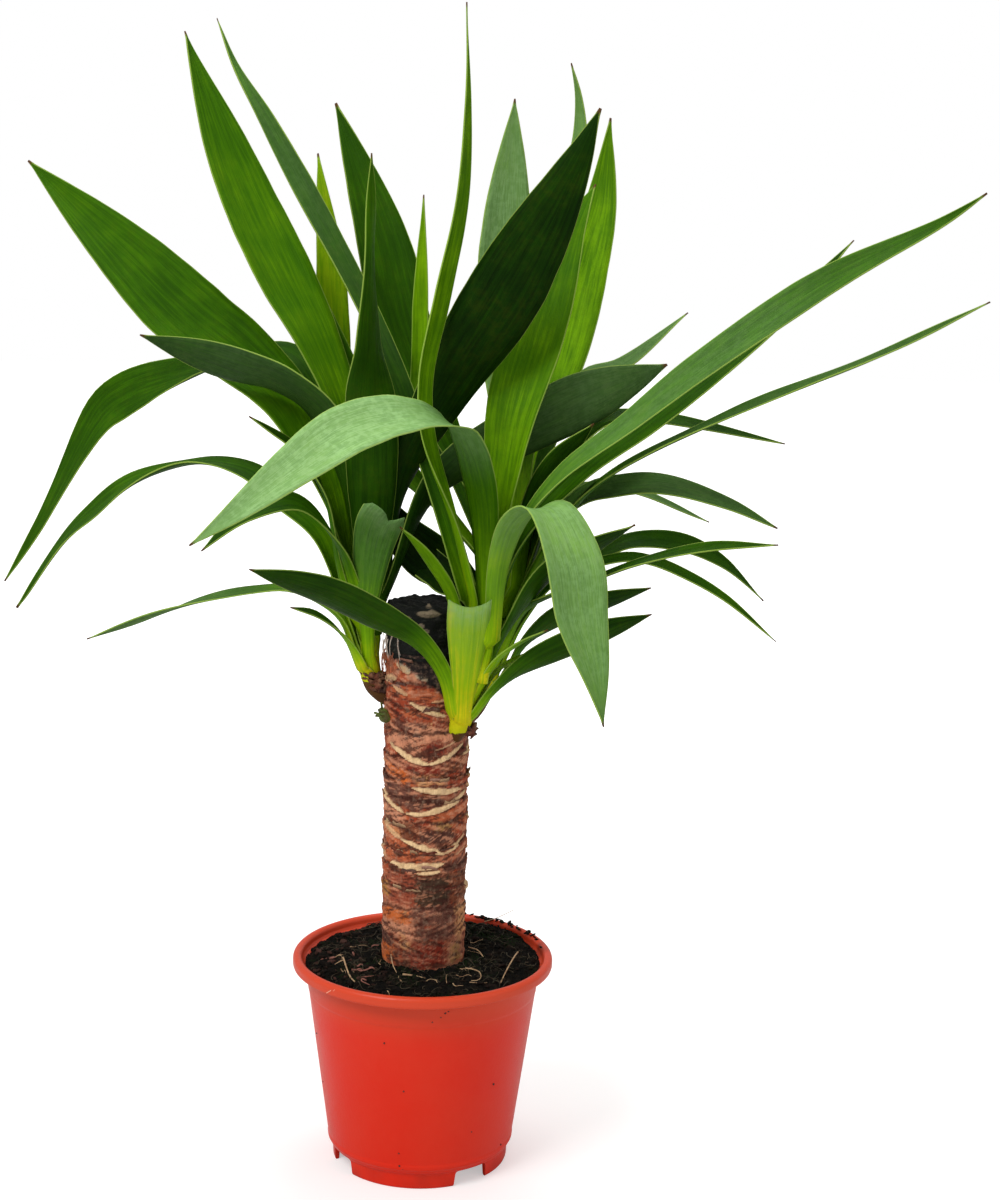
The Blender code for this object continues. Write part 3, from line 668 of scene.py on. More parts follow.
def makeTrunk():
    rng = Random(5)
    columns = barkTables()
    bm = bmesh.new()
    paint = bm.verts.layers.float_color.new("paint")
    around, rows = cane["around"], cane["rows"]

    def shape(vert, column, row):
        angle = 2 * pi * column / around
        z = mix(cane["foot"], cane["top"], row / rows)
        stand, colour = barkAt(columns[column], angle, z)
        vert[paint] = (*colour, 1.0)
        radius = cane["radius"] - 0.2 + stand
        return Vector((radius * cos(angle), radius * sin(angle), z)) * mm

    wrapGrid(bm, around, rows, shape)
    closeEnds(bm)

    flakes = {"count": 80, "wide": (3.5, 9.0), "tall": (1.2, 3.2), "thick": 0.35, "lean": (4, 22),
              "twist": (-30, 30), "hues": ("pinkTan", "rust", "brownPink", "darkRed", "tan", "plum")}
    for _ in range(flakes["count"]):  # loose papery ends of old leaf bases
        layer = rng.randrange(5, len(cane["layers"]))
        column = rng.randrange(around)
        z = dict((n, h) for h, n in columns[column][1])[layer] + rng.uniform(-1.4, 0.4)
        wide, tall = rng.uniform(*flakes["wide"]), rng.uniform(*flakes["tall"])
        lean = radians(rng.uniform(*flakes["lean"]))
        twist = radians(rng.uniform(*flakes["twist"]))
        jag = [rng.uniform(0.55, 1.0) for _ in range(5)]
        hue = barkColours[rng.choice(flakes["hues"])]
        made = bmesh.ops.create_grid(bm, x_segments=4, y_segments=3, size=1.0)["verts"]
        faces = list(dict.fromkeys(f for v in made for f in v.link_faces))
        for vert in made:
            u, t = vert.co.x, (vert.co.y + 1) / 2
            reach = tall * t * jag[round((u + 1) * 2)]
            sideways = u * wide / 2 * (1 - 0.25 * t) + reach * sin(twist)
            angle = 2 * pi * column / around + sideways / cane["radius"]
            radius = cane["radius"] + 0.1 + reach * sin(lean) * (0.6 + 0.4 * t)
            vert.co = Vector((radius * cos(angle), radius * sin(angle), z + reach * cos(lean))) * mm
            vert[paint] = (*mixColour(barkColours["brown"], hue, t), 1.0)
        outward = sum((f.calc_center_median().x * f.normal.x + f.calc_center_median().y * f.normal.y
                       for f in faces if not f.normal_update()), 0.0)
        if outward < 0:
            bmesh.ops.reverse_faces(bm, faces=faces)
        bmesh.ops.solidify(bm, geom=faces, thickness=flakes["thick"] * mm)
    return finishPiece("trunk", bm, barkMaterial(), ["trunk"])


def sealMaterial():
    look = {"char": (0.009, 0.010, 0.008), "ash": (0.060, 0.056, 0.046), "tan": (0.34, 0.26, 0.17)}
    material, tree, shader = newMaterial("cutSeal", roughness=0.8, specular=0.2)
    place = objectPlace(tree)
    ash = patchMask(tree, place, scale=210.0, low=0.5, high=0.68)
    grain = patchMask(tree, place, scale=900.0, low=0.35, high=0.65)
    colour = blendColours(tree, times(tree, ash, times(tree, grain, 0.9)),
                          look["char"], look["ash"])
    colour = blendColours(tree, vertexValue(tree, "scar"), colour, look["tan"])
    paintWith(tree, shader, colour)
    addBump(tree, shader, grain, strength=0.8, distance=0.0006)
    return material


def makeCap():
    cap = {"foot": 239.0, "top": 263.0, "around": 160, "side": 46, "crown": 26, "lip": 2.2,
           "scars": ((260.6, -88, 16, 3.4, 0.95), (258.5, -121, 9, 1.2, 0.7), (256.2, -116, 12, 1.0, 0.6),
                     (255.0, -98, 5, 2.4, 0.8), (252.8, -91, 5, 2.0, 0.7), (251.0, -97, 3, 1.2, 0.6),
                     (255.0, 40, 20, 3.0, 0.6), (248.0, 140, 18, 2.6, 0.5))}
    bm = bmesh.new()
    scarLayer = bm.verts.layers.float.new("scar")
    rows = cap["side"] + cap["crown"]

    def shape(vert, column, row):
        angle = 2 * pi * column / cap["around"]
        where = Vector((cos(angle), sin(angle), 0))
        if row <= cap["side"]:
            t = row / cap["side"]
            z = mix(cap["foot"], cap["top"] - cap["lip"], t)
            radius = cane["radius"]
        else:
            t = (row - cap["side"]) / cap["crown"]
            radius = cane["radius"] * cos(t * pi / 2) ** 0.75
            z = cap["top"] - cap["lip"] * (1 - min(t * 4, 1)) ** 2 - 1.2 * t
        bands = noise.noise(Vector((where.x * 1.6, where.y * 1.6, z * 0.42)))
        ridges = noise.noise(Vector((where.x * 3.5, where.y * 3.5, z * 1.2)))
        lumps = noise.noise(where * (radius * 0.35) + Vector((0, 0, z * 0.3)))
        radius *= 1 + 0.035 * bands + 0.025 * ridges + 0.02 * lumps - 0.025
        scar = 0.0
        for height, direction, wide, thick, pale in cap["scars"]:
            gap = abs(angleGap(360 * column / cap["around"], direction)) / wide
            rise = abs(z - height) / (thick / 2)
            scar = max(scar, pale * eased((1.1 - sqrt(gap * gap + rise * rise)) / 0.25))
        vert[scarLayer] = scar
        lift = 0.9 * lumps + 0.6 * ridges if row > cap["side"] else 0.0
        return Vector((radius * cos(angle), radius * sin(angle), z + lift)) * mm

    wrapGrid(bm, cap["around"], rows, shape)
    closeEnds(bm)
    return finishPiece("cutCap", bm, sealMaterial(), ["cut_cap"])


makeTrunk()
makeCap()
print("cane is made")


# Peat

peat = {"top": 95.2, "edge": 54.2, "shoulder": (51.8, 90.6), "cells": 200, "crumbs": 900, "fibres": 230,
        "straws": 22, "mounds": ((30, 34, 3.0, 420), (-36, 22, -1.0, 300))}  # mounds: middle, height, spread


def peatHeight(x, y):
    place = Vector((x, y, 0))
    lumps = 0.9 * noise.noise(place * 0.075) + 1.0 * noise.noise(place * 0.19 + Vector((7, 0, 0)))
    lumps += 0.9 * noise.noise(place * 0.45) + 0.7 * noise.noise(place * 1.1) + 0.4 * noise.noise(place * 2.3)
    rise = 0.0
    for middleX, middleY, high, spread in peat["mounds"]:
        rise += high * exp(-((x - middleX) ** 2 + (y - middleY) ** 2) / spread)
    out = sqrt(x * x + y * y)
    return peat["top"] + lumps + rise - 1.4 * eased((out - 47) / 7) + 1.3 * exp(-((out - 21) / 3) ** 2)


def peatMaterial():
    look = {"black": (0.0045, 0.0040, 0.0030), "brown": (0.030, 0.020, 0.012), "moss": (0.014, 0.034, 0.006),
            "root": (0.16, 0.070, 0.055)}
    material, tree, shader = newMaterial("peat", roughness=0.95, specular=0.12)
    place = objectPlace(tree)
    clods = patchMask(tree, place, scale=190.0, low=0.38, high=0.72)
    moss = patchMask(tree, place, scale=60.0, low=0.50, high=0.62)
    crumbs = patchMask(tree, place, scale=700.0, low=0.4, high=0.7)
    strands = useGroup(tree, fibres, Vector=place, Across=900.0, Along=240.0).outputs["Mask"]
    left = remap(tree, put(tree, "ShaderNodeSeparateXYZ", {0: place}).outputs["X"], -0.012, -0.03)
    colour = blendColours(tree, times(tree, clods, strands), look["black"], look["brown"])
    colour = blendColours(tree, times(tree, moss, times(tree, crumbs, 0.9)), colour,
                          look["moss"])
    onLeft = plus(tree, 0.12, times(tree, left, 0.5))
    pinkish = times(tree, vertexValue(tree, "warm"), onLeft)
    colour = blendColours(tree, pinkish, colour, look["root"])
    paintWith(tree, shader, colour)
    addBump(tree, shader, plus(tree, crumbs, strands), strength=0.9, distance=0.0008)
    return material


def makeSoil():
    rng = Random(21)
    spill = {"count": 40, "toward": 42, "scatter": 16, "out": (55.5, 59.0)}  # crumbs on the rim behind
    bm = bmesh.new()
    warm = bm.verts.layers.float.new("warm")
    grid = bmesh.ops.create_grid(bm, x_segments=peat["cells"], y_segments=peat["cells"], size=1.0)["verts"]
    for vert in grid:  # the square becomes a disc
        u, v = vert.co.x, vert.co.y
        x = u * sqrt(1 - v * v / 2) * peat["edge"]
        y = v * sqrt(1 - u * u / 2) * peat["edge"]
        vert.co = Vector((x, y, peatHeight(x, y))) * mm
    rim = [e for e in bm.edges if e.is_boundary]
    floor = (potWall(12) - pot["wall"] - 0.8, 10.2)
    for radius, z in (peat["shoulder"], floor):
        wall = bmesh.ops.extrude_edge_only(bm, edges=rim)["geom"]
        for vert in wall:
            if isinstance(vert, bmesh.types.BMVert):
                flat = Vector((vert.co.x, vert.co.y, 0)).normalized() * radius * mm
                vert.co = Vector((flat.x, flat.y, z * mm))
        rim = [e for e in wall if isinstance(e, bmesh.types.BMEdge) and e.is_boundary]
    bmesh.ops.holes_fill(bm, edges=rim, sides=0)
    for number in range(peat["crumbs"]):
        turn, out = rng.uniform(0, 2 * pi), sqrt(rng.random()) * (peat["edge"] - 1.2)
        spilt = number < spill["count"]
        if spilt:
            turn, out = radians(rng.gauss(spill["toward"], spill["scatter"])), rng.uniform(*spill["out"])
        if out < cane["radius"] + 1:
            continue
        x, y = out * cos(turn), out * sin(turn)
        size = rng.uniform(0.35, 1.1) if rng.random() < 0.85 else rng.uniform(1.0, 2.0)
        z = pot["height"] + 0.1 if spilt else peatHeight(x, y) + size * 0.3
        centre = Vector((x, y, z)) * mm
        made = bmesh.ops.create_icosphere(bm, subdivisions=2, radius=size * mm, matrix=Matrix.Translation(centre))
        tone = rng.random() ** 2.5
        heading = Matrix.Rotation(rng.uniform(0, pi), 3, "Z") @ Matrix.Rotation(rng.uniform(-0.6, 0.6), 3, "X")
        stretch = Vector((rng.uniform(0.9, 2.0), rng.uniform(0.5, 0.9), rng.uniform(0.35, 0.8)))
        for vert in made["verts"]:
            offset = vert.co - centre
            offset *= 1 + 0.6 * noise.noise(offset * 1100 + Vector((number, 0, 0)))
            vert.co = centre + heading @ (offset * stretch)
            vert[warm] = tone
    return finishPiece("peat", bm, peatMaterial(), ["soil"])


makeSoil()
print("peat is made")


def makeThreads(name, threads, material):
    # each thread is a list of places in mm and a radius at its two ends
    runs = [[(place, mix(thick, thin, number / (len(places) - 1))) for number, place in enumerate(places)]
            for places, thick, thin in threads]
    return finishPiece(name, tubes(name, runs, roundness=2, perSpan=5, merge=1e-7), material, [])


def strawMaterial(name, pale, dark):
    material, tree, shader = newMaterial(name, roughness=0.7, specular=0.3)
    place = objectPlace(tree)
    strands = useGroup(tree, fibres, Vector=place, Across=1500.0, Along=300.0)
    spots = patchMask(tree, place, scale=220.0, low=0.4, high=0.65)
    colour = blendColours(tree, times(tree, spots, strands.outputs["Mask"]), pale, dark)
    paintWith(tree, shader, colour)
    addBump(tree, shader, strands.outputs["Fine"], strength=0.4, distance=0.0002)
    return material


def onPeat(x, y, above=0.5):
    return (x, y, peatHeight(x, y) + above)


def scatteredThreads(rng, count, out, long, lift, thick, swirl=0.9):
    # short bent threads lying about on the peat
    threads = []
    for _ in range(count):
        turn, away = rng.uniform(0, 2 * pi), rng.uniform(*out)
        x, y = away * cos(turn), away * sin(turn)
        heading, reach, bend = rng.uniform(0, 2 * pi), rng.uniform(*long), rng.uniform(-swirl, swirl)
        places = []
        for step in range(4):
            share = step / 3
            px = x + reach * share * cos(heading + bend * share)
            py = y + reach * share * sin(heading + bend * share)
            away = sqrt(px * px + py * py)
            inner = min(max(away, cane["radius"] + 0.8), peat["edge"] - 1.5) / away
            places.append(onPeat(px * inner, py * inner, rng.uniform(*lift)))
        threads.append((places, rng.uniform(*thick), thick[0] * 0.6))
    return threads


def makeStraws():
    rng = Random(8)
    pale = [  # the ones that stand out: a fork, a long stalk, a hair over the rim, a sliver, a curl, two short ones
        ([onPeat(-36, -13, 4.0), onPeat(-35, -17, 3.0), onPeat(-31.5, -29, 1.2), onPeat(-29, -36, 0.4)], 0.42, 0.3),
        ([onPeat(-35.6, -15, 3.4), onPeat(-37.5, -15.5, 2.6), onPeat(-39.5, -17, 1.8)], 0.3, 0.15),
        ([onPeat(44, 2, 3.6), onPeat(42, -8, 2.6), onPeat(38.5, -21, 1.6), onPeat(36, -32, 0.5)], 0.34, 0.26),
        ([onPeat(28, 40, 1.0), onPeat(34, 44, 4.2), onPeat(42, 49, 7.0)], 0.2, 0.1),
        ([onPeat(-8, -27, 0.6), onPeat(-3, -27.8, 0.9), onPeat(3, -27.3, 0.5)], 0.5, 0.25),
        ([onPeat(20, -17, 2.0), onPeat(24, -19, 2.2), onPeat(27, -24, 1.6), onPeat(26, -30, 0.8),
          onPeat(23, -31, 0.7)], 0.3, 0.2),
        ([onPeat(21, 4, 2.4), onPeat(25, 2, 2.8), onPeat(28, -3, 1.6)], 0.3, 0.2),
        ([onPeat(-14, -15.5, 5.0), onPeat(-13, -19, 2.4), onPeat(-11, -23, 0.6)], 0.3, 0.2),
    ]
    pale += scatteredThreads(rng, peat["straws"], out=(24, 48), long=(3, 10), lift=(0.2, 1.4), thick=(0.14, 0.26))
    makeThreads("straws", pale, strawMaterial("dryStraw", (0.55, 0.36, 0.20), (0.22, 0.10, 0.05)))

    pink = [([onPeat(-31.5, -21, 1.2), onPeat(-27, -20.6, 1.8), onPeat(-22.5, -19.5, 1.2)], 0.42, 0.3)]
    for _ in range(8):
        turn, out = rng.uniform(pi * 0.8, pi * 1.35), rng.uniform(26, 46)
        x, y = out * cos(turn), out * sin(turn)
        pink.append(([onPeat(x, y, 0.6), onPeat(x + rng.uniform(-3, 3), y + rng.uniform(-2, 2), 1.4),
                      onPeat(x + rng.uniform(-5, 5), y + rng.uniform(-3, 3), 0.5)], 0.38, 0.2))
    makeThreads("rootBits", pink, strawMaterial("rootBit", (0.38, 0.15, 0.11), (0.12, 0.05, 0.03)))

    dark = scatteredThreads(rng, peat["fibres"], out=(21, 52), long=(3, 11), lift=(0.1, 1.6), thick=(0.12, 0.3),
                            swirl=1.6)
    makeThreads("peatFibres", dark, strawMaterial("peatFibre", (0.055, 0.040, 0.022), (0.012, 0.016, 0.006)))


def makeBarkFibres():
    # a fringe of thin roots and threads left of the cut: pale ones higher up, reddish ones below
    rng = Random(31)
    look = {"count": 26, "first": -176, "last": -128, "top": (238, 251), "drop": (5, 12), "paleAbove": 243.5,
            "thick": (0.16, 0.34), "tip": 0.12, "off": 0.5}
    around = cane["radius"] + look["off"]
    fringe, red = [], []
    for _ in range(look["count"]):
        turn = radians(rng.uniform(look["first"], look["last"]))
        top, drop = rng.uniform(*look["top"]), rng.uniform(*look["drop"])
        sway = rng.uniform(-0.12, 0.12)
        places = []
        for share, off in ((0, 0.2), (0.35, 0.9), (0.7, 0.7), (1, 0.2)):
            angle = turn + sway * share
            places.append(((around + off) * cos(angle), (around + off) * sin(angle), top - drop * share))
        bundle = fringe if top > look["paleAbove"] else red
        bundle.append((places, rng.uniform(*look["thick"]), look["tip"]))
    makeThreads("paleFringe", fringe, strawMaterial("paleFringe", (0.62, 0.52, 0.44), (0.30, 0.17, 0.12)))
    makeThreads("redFringe", red, strawMaterial("redFringe", (0.36, 0.12, 0.06), (0.16, 0.04, 0.02)))


def makeSpecks():
    # crumbs of peat stuck to the pot: direction, height and size, then a few more at random
    bm = bmesh.new()
    bm.verts.layers.float.new("warm")
    rng = Random(64)
    strays = {"count": 14, "height": (12, 88), "size": (0.2, 0.45)}
    spots = [(-77, 88.7, 0.5), (-79, 86.8, 0.3), (-83, 84.6, 0.35), (-75.5, 89.5, 0.3), (-45, 48.4, 0.5),
             (-97, 50.1, 0.35), (-161, 63.5, 0.35), (-57, 27.0, 0.3), (-100, 12.0, 0.5), (-98, 10.5, 0.35)]
    for _ in range(strays["count"]):
        spots.append((rng.uniform(0, 360), rng.uniform(*strays["height"]), rng.uniform(*strays["size"])))
    for direction, z, size in spots:
        turn = radians(direction)
        centre = Vector(((potWall(z) + 0.05) * cos(turn), (potWall(z) + 0.05) * sin(turn), z)) * mm
        made = bmesh.ops.create_icosphere(bm, subdivisions=2, radius=size * mm, matrix=Matrix.Translation(centre))
        for vert in made["verts"]:
            offset = vert.co - centre
            vert.co = centre + offset * (1 + 0.5 * noise.noise(offset * 1800 + centre * 900))
    finishPiece("specks", bm, bpy.data.materials["peat"], [])

    lip = pot["radius"] - 0.1
    scratch = []
    for first, last, low, high in ((-133, -127.5, 93.6, 97.6), (-129, -126.5, 95.6, 97.9)):
        places = []
        for share in (0, 0.5, 1):
            turn, z = radians(mix(first, last, share)), mix(low, high, share)
            inward = 1.9 * max(z - 95.9, 0) ** 2 / 4.4
            places.append(((lip - inward) * cos(turn), (lip - inward) * sin(turn), z))
        scratch.append((places, 0.22, 0.12))
    makeThreads("lipScratch", scratch, strawMaterial("paleScratch", (0.95, 0.50, 0.34), (0.80, 0.20, 0.12)))


makeStraws()
makeBarkFibres()
makeSpecks()
print("straws, fibres and specks are laid")


# Shoots and leaves

leafShape = {
    "thick": 0.6, "baseWidth": 9.0, "widest": 0.6, "tip": 0.02, "step": 3.4, "fewest": 14, "most": 76,
    "columns": 8,
    "sheath": 15.0, "sheathRows": 6, "sheathHalf": 4.2, "sheathReach": 3.8,  # the part that clasps the shoot
    "wrapFoot": 1.45, "wrapBase": 1.15, "wrapBlade": 0.42,
}
shootFeet = {"left": 228.0, "front": 208.6, "back": 221.5}  # the green starts here
shootLines = {
    "left": ((-25, 1, 228), (-26.5, 3, 300)),
    "front": ((15, -13, 208), (29, -17, 300)),
    "back": ((24, 12, 215), (44, 20, 300)),
}
# Each leaf, lowest first but for the last one of front and back: height of its base, direction it
# grows in, its route as (distance from the shoot, height), its width, how it rolls from base to tip,
# and its looks. tone runs from black-green 0 to yellow 1 along the leaf; besides the leaf's own colour it holds
# painted light: painted shade where an underside is turned from the light, and a painted glow where a leaf is lit
# from behind. The whitish bloom value is the leaf's bloom together with painted sheen where light falls on upper
# faces.
# foot is the width at the base where it isn't the usual one, widest says how far along the blade is
# widest, sweep turns the leaf aside on its way out, beside moves its base, wrinkle roughens it and
# cut gives the depth of a torn end from one edge to the other.
leaves = {
    "left": [
        (231, -152, [(7, 231), (14, 246), (27, 257), (40, 262)], 9, [0, -20],
         {"foot": 10, "tone": [0.94, 0.72, 0.42, 0.34]}),
        (237, 178, [(9, 237), (15, 253), (25, 261), (38, 266), (54, 265), (77, 260), (114, 247), (130, 241)],
         10, [0, -10, 40], {"foot": 10, "tone": [0.92, 0.66, 0.46, 0.42, 0.4], "bloomAndSheen": [0, 0.1, 0.25, 0.25]}),
        (238, -103, [(7, 238), (11, 256), (14, 275), (19, 293), (26, 303), (31, 307)], 20, [0],
         {"sweep": 29, "widest": 0.85, "foot": 5.5, "tone": [0.85, 0.74, 0.60, 0.48, 0.46, 0.44],
          "bloomAndSheen": [0, 0.02, 0.06, 0.10, 0.12, 0.4],
          "cut": (0.08, 0.03, 0.02, 0.02, 0.035, 0.075, 0.05, 0.0, 0.08)}),
        (242, 162, [(8, 242), (17, 268), (27, 291), (45, 305), (60, 316), (82, 320), (102, 316), (123, 307),
                    (140, 294), (155, 281), (183, 245)], 19, [0, -30, -5, -35, -50],
         {"tone": [0.85, 0.6, 0.42, 0.4, 0.42, 0.42, 0.4]}),
        (247, 132, [(8, 247), (25, 300), (46, 350), (64, 367), (95, 365), (123, 357), (145, 351), (164, 344),
                    (178, 334), (204, 276), (216, 250)], 26, [0, -20, -25, -90, -85],
         {"sweep": 20, "tone": [0.85, 0.6, 0.46, 0.36, 0.37, 0.42, 0.40, 0.42]}),
        (252, -134, [(7, 252), (22, 290), (46, 310), (74, 306), (96, 294)], 13, [0, -35, -20],
         {"tone": [0.8, 0.5, 0.3, 0.3]}),
        (254, 168, [(9, 254), (14, 285), (24, 318), (41, 350), (62, 369), (86, 386), (124, 420), (163, 454)],
         35, [0, -40, -60, -65], {"tone": [0.85, 0.62, 0.55, 0.48, 0.46, 0.48, 0.5]}),
        (256, -158, [(11, 256), (17, 280), (23, 310), (36, 331), (48, 340), (57, 346)], 10, [0, -30],
         {"tone": [0.8, 0.55, 0.35, 0.25]}),
        (262, 100, [(7, 262), (22, 290), (45, 310), (68, 312), (98, 290)], 14, [0], {"tone": [0.7, 0.45, 0.4]}),
        (262, -90, [(7, 262), (12, 310), (17, 345), (22, 390), (28, 430), (36, 458)], 23,
         [0, 0, 0, 60, 75, 45], {"widest": 0.35, "foot": 13, "tone": [0.45, 0.32, 0.30, 0.32, 0.36, 0.5, 0.45]}),
        (263, -168, [(6, 263), (12, 310), (24, 345), (42, 359), (62, 366), (102, 380)], 27, [0, 25, 60],
         {"foot": 12, "tone": [0.6, 0.4, 0.28, 0.26, 0.24], "bloomAndSheen": [0, 0, 0.05, 0.10, 0.06]}),
        (266, 8, [(8, 266), (31, 317), (64, 338), (92, 352), (132, 370)], 27, [0, -75, -85],
         {"widest": 0.72, "foot": 13, "tone": [0.3, 0.22, 0.28, 0.34, 0.3], "bloomAndSheen": [0, 0, 0.12, 0.22, 0.15]}),
        (268, 154, [(5, 268), (7, 300), (15, 343), (30, 376), (46, 402), (72, 448), (96, 502), (100, 513)],
         30, [0, -20, -30, -30], {"tone": [0.88, 0.70, 0.60, 0.56, 0.56, 0.52, 0.50]}),
        (270, -23, [(8, 270), (14, 316), (33, 354), (64, 404), (92, 454), (103, 478)], 33, [0, -45, -65, -65],
         {"tone": [0.3, 0.16, 0.14, 0.14, 0.17, 0.22]}),
        (276, 112, [(8, 276), (30, 320), (52, 352), (62, 385), (68, 415), (88, 462)], 15, [0, -10, -10],
         {"tone": [0.8, 0.7, 0.75, 0.82, 0.84, 0.82]}),
        (280, 60, [(7, 280), (22, 325), (36, 355), (38, 400), (39, 443)], 8, [0, 20],
         {"tone": [0.75, 0.66, 0.66, 0.7, 0.72]}),
    ],
    "front": [
        (212, -80, [(7, 212), (12, 235), (16, 251), (19, 262), (22, 269)], 19, [0],
         {"widest": 0.85, "foot": 8.0, "tone": [0.97, 0.93, 0.89, 0.86, 0.85],
          "bloomAndSheen": [0, 0, 0.04, 0.12, 0.7], "cut": (0.0, 0.02, 0.04, 0.045, 0.04, 0.025, 0.0)}),
        (214, -12, [(7, 214), (15, 225), (30, 239), (50, 250), (84, 265)], 14, [0, -60, -60],
         {"tone": [0.8, 0.4, 0.25, 0.22]}),
        (216, -132, [(8, 216), (13, 232), (28, 250), (58, 267), (86, 280), (125, 293)], 17, [0, 40, 50],
         {"tone": [0.9, 0.66, 0.36, 0.32, 0.3, 0.26]}),
        (220, 16, [(7, 220), (16, 234), (35, 243)], 6, [0], {"tone": [0.9, 0.82, 0.75]}),
        (224, -32, [(7, 224), (16, 240), (28, 250), (42, 258)], 8, [0], {"tone": [0.88, 0.75, 0.5]}),
        (231, -2, [(8, 231), (17, 252), (34, 278), (52, 290), (72, 302)], 17, [0, -30, -50],
         {"tone": [0.8, 0.4, 0.25, 0.22]}),
        (236, -140, [(7, 236), (8, 256), (12, 270), (22, 284), (31, 294), (40, 302)], 8, [0, 20],
         {"tone": [0.9, 0.80, 0.72, 0.70, 0.66]}),
        (244, 15, [(8, 244), (20, 289), (47, 320), (80, 344), (138, 391), (173, 427)], 16, [0, 20, 30],
         {"tone": [0.8, 0.5, 0.36, 0.34, 0.34, 0.3]}),
        (246, -126, [(3, 246), (3, 293), (8, 320), (22, 344), (42, 350), (62, 350), (85, 345), (107, 333),
                     (138, 311), (149, 303)], 26, [0, 10, -25, -35, -35],
         {"sweep": -15, "beside": (5, -5), "tone": [0.85, 0.70, 0.56, 0.50, 0.54, 0.56, 0.56, 0.54],
          "bloomAndSheen": [0, 0, 0, 0.35, 0.75, 0.82, 0.78, 0.6], "wrinkle": 0.25}),
        (250, -50, [(14, 250), (18, 286), (28, 305), (45, 312), (62, 293), (69, 268), (79, 245), (85, 226)],
         27, [0, 0, 15, 15],
         {"tone": [0.88, 0.74, 0.66, 0.62, 0.58, 0.56, 0.54], "bloomAndSheen": [0, 0.08, 0.40, 0.55, 0.48, 0.38, 0.28]}),
        (252, -10, [(7, 252), (19, 297), (36, 322), (66, 347), (95, 371), (149, 409), (197, 434), (215, 445)],
         20, [0, 30, 40, 40],
         {"sweep": -17, "tone": [0.8, 0.60, 0.50, 0.46, 0.44, 0.42], "bloomAndSheen": [0, 0.08, 0.18, 0.16, 0.06, 0.0]}),
        (262, 45, [(6, 262), (10, 300), (17, 345), (26, 370), (50, 425), (67, 449)], 28, [0, 20, 30, 30],
         {"tone": [0.85, 0.70, 0.62, 0.58, 0.56, 0.55]}),
        (268, -166, [(6, 268), (14, 300), (27, 340), (28, 365), (21, 400), (13, 440), (11, 480), (12, 521)],
         13, [0, -40, -50, -30], {"widest": 0.35, "beside": (0, -3), "tone": [0.82, 0.66, 0.66, 0.64, 0.62, 0.62]}),
        (268, 145, [(7, 268), (28, 318), (48, 360), (64, 387), (96, 433), (129, 478), (147, 501), (158, 522)],
         11, [-55, -40, -20, -55, -20],
         {"widest": 0.6, "beside": (0, -0.2), "tone": [0.7, 0.34, 0.28, 0.34, 0.40, 0.44],
          "bloomAndSheen": [0, 0, 0.05, 0.10, 0.10]}),
        (262, 154, [(7, 263), (11, 268), (19, 275), (28, 281)], 16, [0, -40, -50],
         {"foot": 10, "tone": [0.2, 0.12, 0.08], "cut": (0.0, 0.08, 0.03, 0.1, 0.02, 0.06)}),
    ],
    "back": [
        (222, 6, [(9, 222), (18, 240), (32, 253), (54, 261), (76, 268)], 13, [0, -60, -60],
         {"tone": [0.8, 0.35, 0.24, 0.22]}),
        (230, -8, [(6, 230), (17, 254), (32, 273), (60, 284), (73, 283), (87, 278), (106, 268), (130, 249)],
         6, [0, 40, 40], {"tone": [0.8, 0.45, 0.35, 0.35]}),
        (237, -46, [(6, 237), (19, 258), (38, 269), (62, 279), (89, 290), (125, 301), (162, 307)], 11,
         [0, 20, 30], {"tone": [0.8, 0.45, 0.35, 0.35, 0.3]}),
        (241, 18, [(7, 241), (24, 266), (50, 281), (65, 287), (90, 286), (112, 276), (134, 257)],
         10, [0, 20, 60, 40], {"tone": [0.8, 0.45, 0.35, 0.35, 0.3]}),
        (244, -31, [(7, 244), (21, 278), (39, 307), (58, 324), (111, 352), (177, 381), (221, 404)],
         12, [0, 20, 20, 30], {"tone": [0.8, 0.45, 0.36, 0.38, 0.38], "bloomAndSheen": [0, 0, 0.05, 0.1, 0.1]}),
        (247, 40, [(11, 247), (21, 284), (37, 306), (66, 309), (87, 305), (135, 288)], 11, [0, 20, 30],
         {"tone": [0.8, 0.5, 0.42, 0.42, 0.38], "bloomAndSheen": [0, 0.1, 0.2, 0.2]}),
        (251, -12, [(7, 251), (18, 275), (25, 298), (38, 311), (51, 315), (71, 317), (102, 310), (124, 301)],
         17, [0, 30, 20], {"tone": [0.8, 0.45, 0.38, 0.36, 0.34], "bloomAndSheen": [0, 0.1, 0.15, 0.1]}),
        (259, 9, [(6, 259), (14, 285), (24, 322), (45, 344), (64, 345), (81, 343), (129, 334)], 12, [0, 20, 30],
         {"tone": [0.8, 0.4, 0.3, 0.3, 0.3]}),
        (262, 80, [(8, 262), (22, 288), (45, 298), (68, 292), (88, 270)], 14, [0], {"tone": [0.7, 0.45, 0.4]}),
        (264, 128, [(7, 264), (40, 318), (66, 345), (90, 376)], 20, [0], {"tone": [0.7, 0.42, 0.4]}),
        (268, -44, [(7, 268), (11, 300), (26, 325), (48, 346)], 14, [0, -30], {"tone": [0.75, 0.35, 0.25]}),
        (270, 164, [(7, 270), (34, 300), (66, 332), (102, 397), (125, 446)], 18, [0, -50, -50],
         {"tone": [0.7, 0.5, 0.45]}),
        (272, 30, [(5, 272), (10, 297), (19, 334), (38, 362), (57, 368), (92, 392)], 12, [0, 20],
         {"tone": [0.75, 0.5, 0.45, 0.42], "bloomAndSheen": [0, 0.1, 0.3, 0.3]}),
        (278, 66, [(7, 278), (29, 337), (56, 376), (74, 411), (93, 444), (102, 483)], 23, [0, 20, 20, 20],
         {"tone": [0.8, 0.68, 0.66, 0.64, 0.6]}),
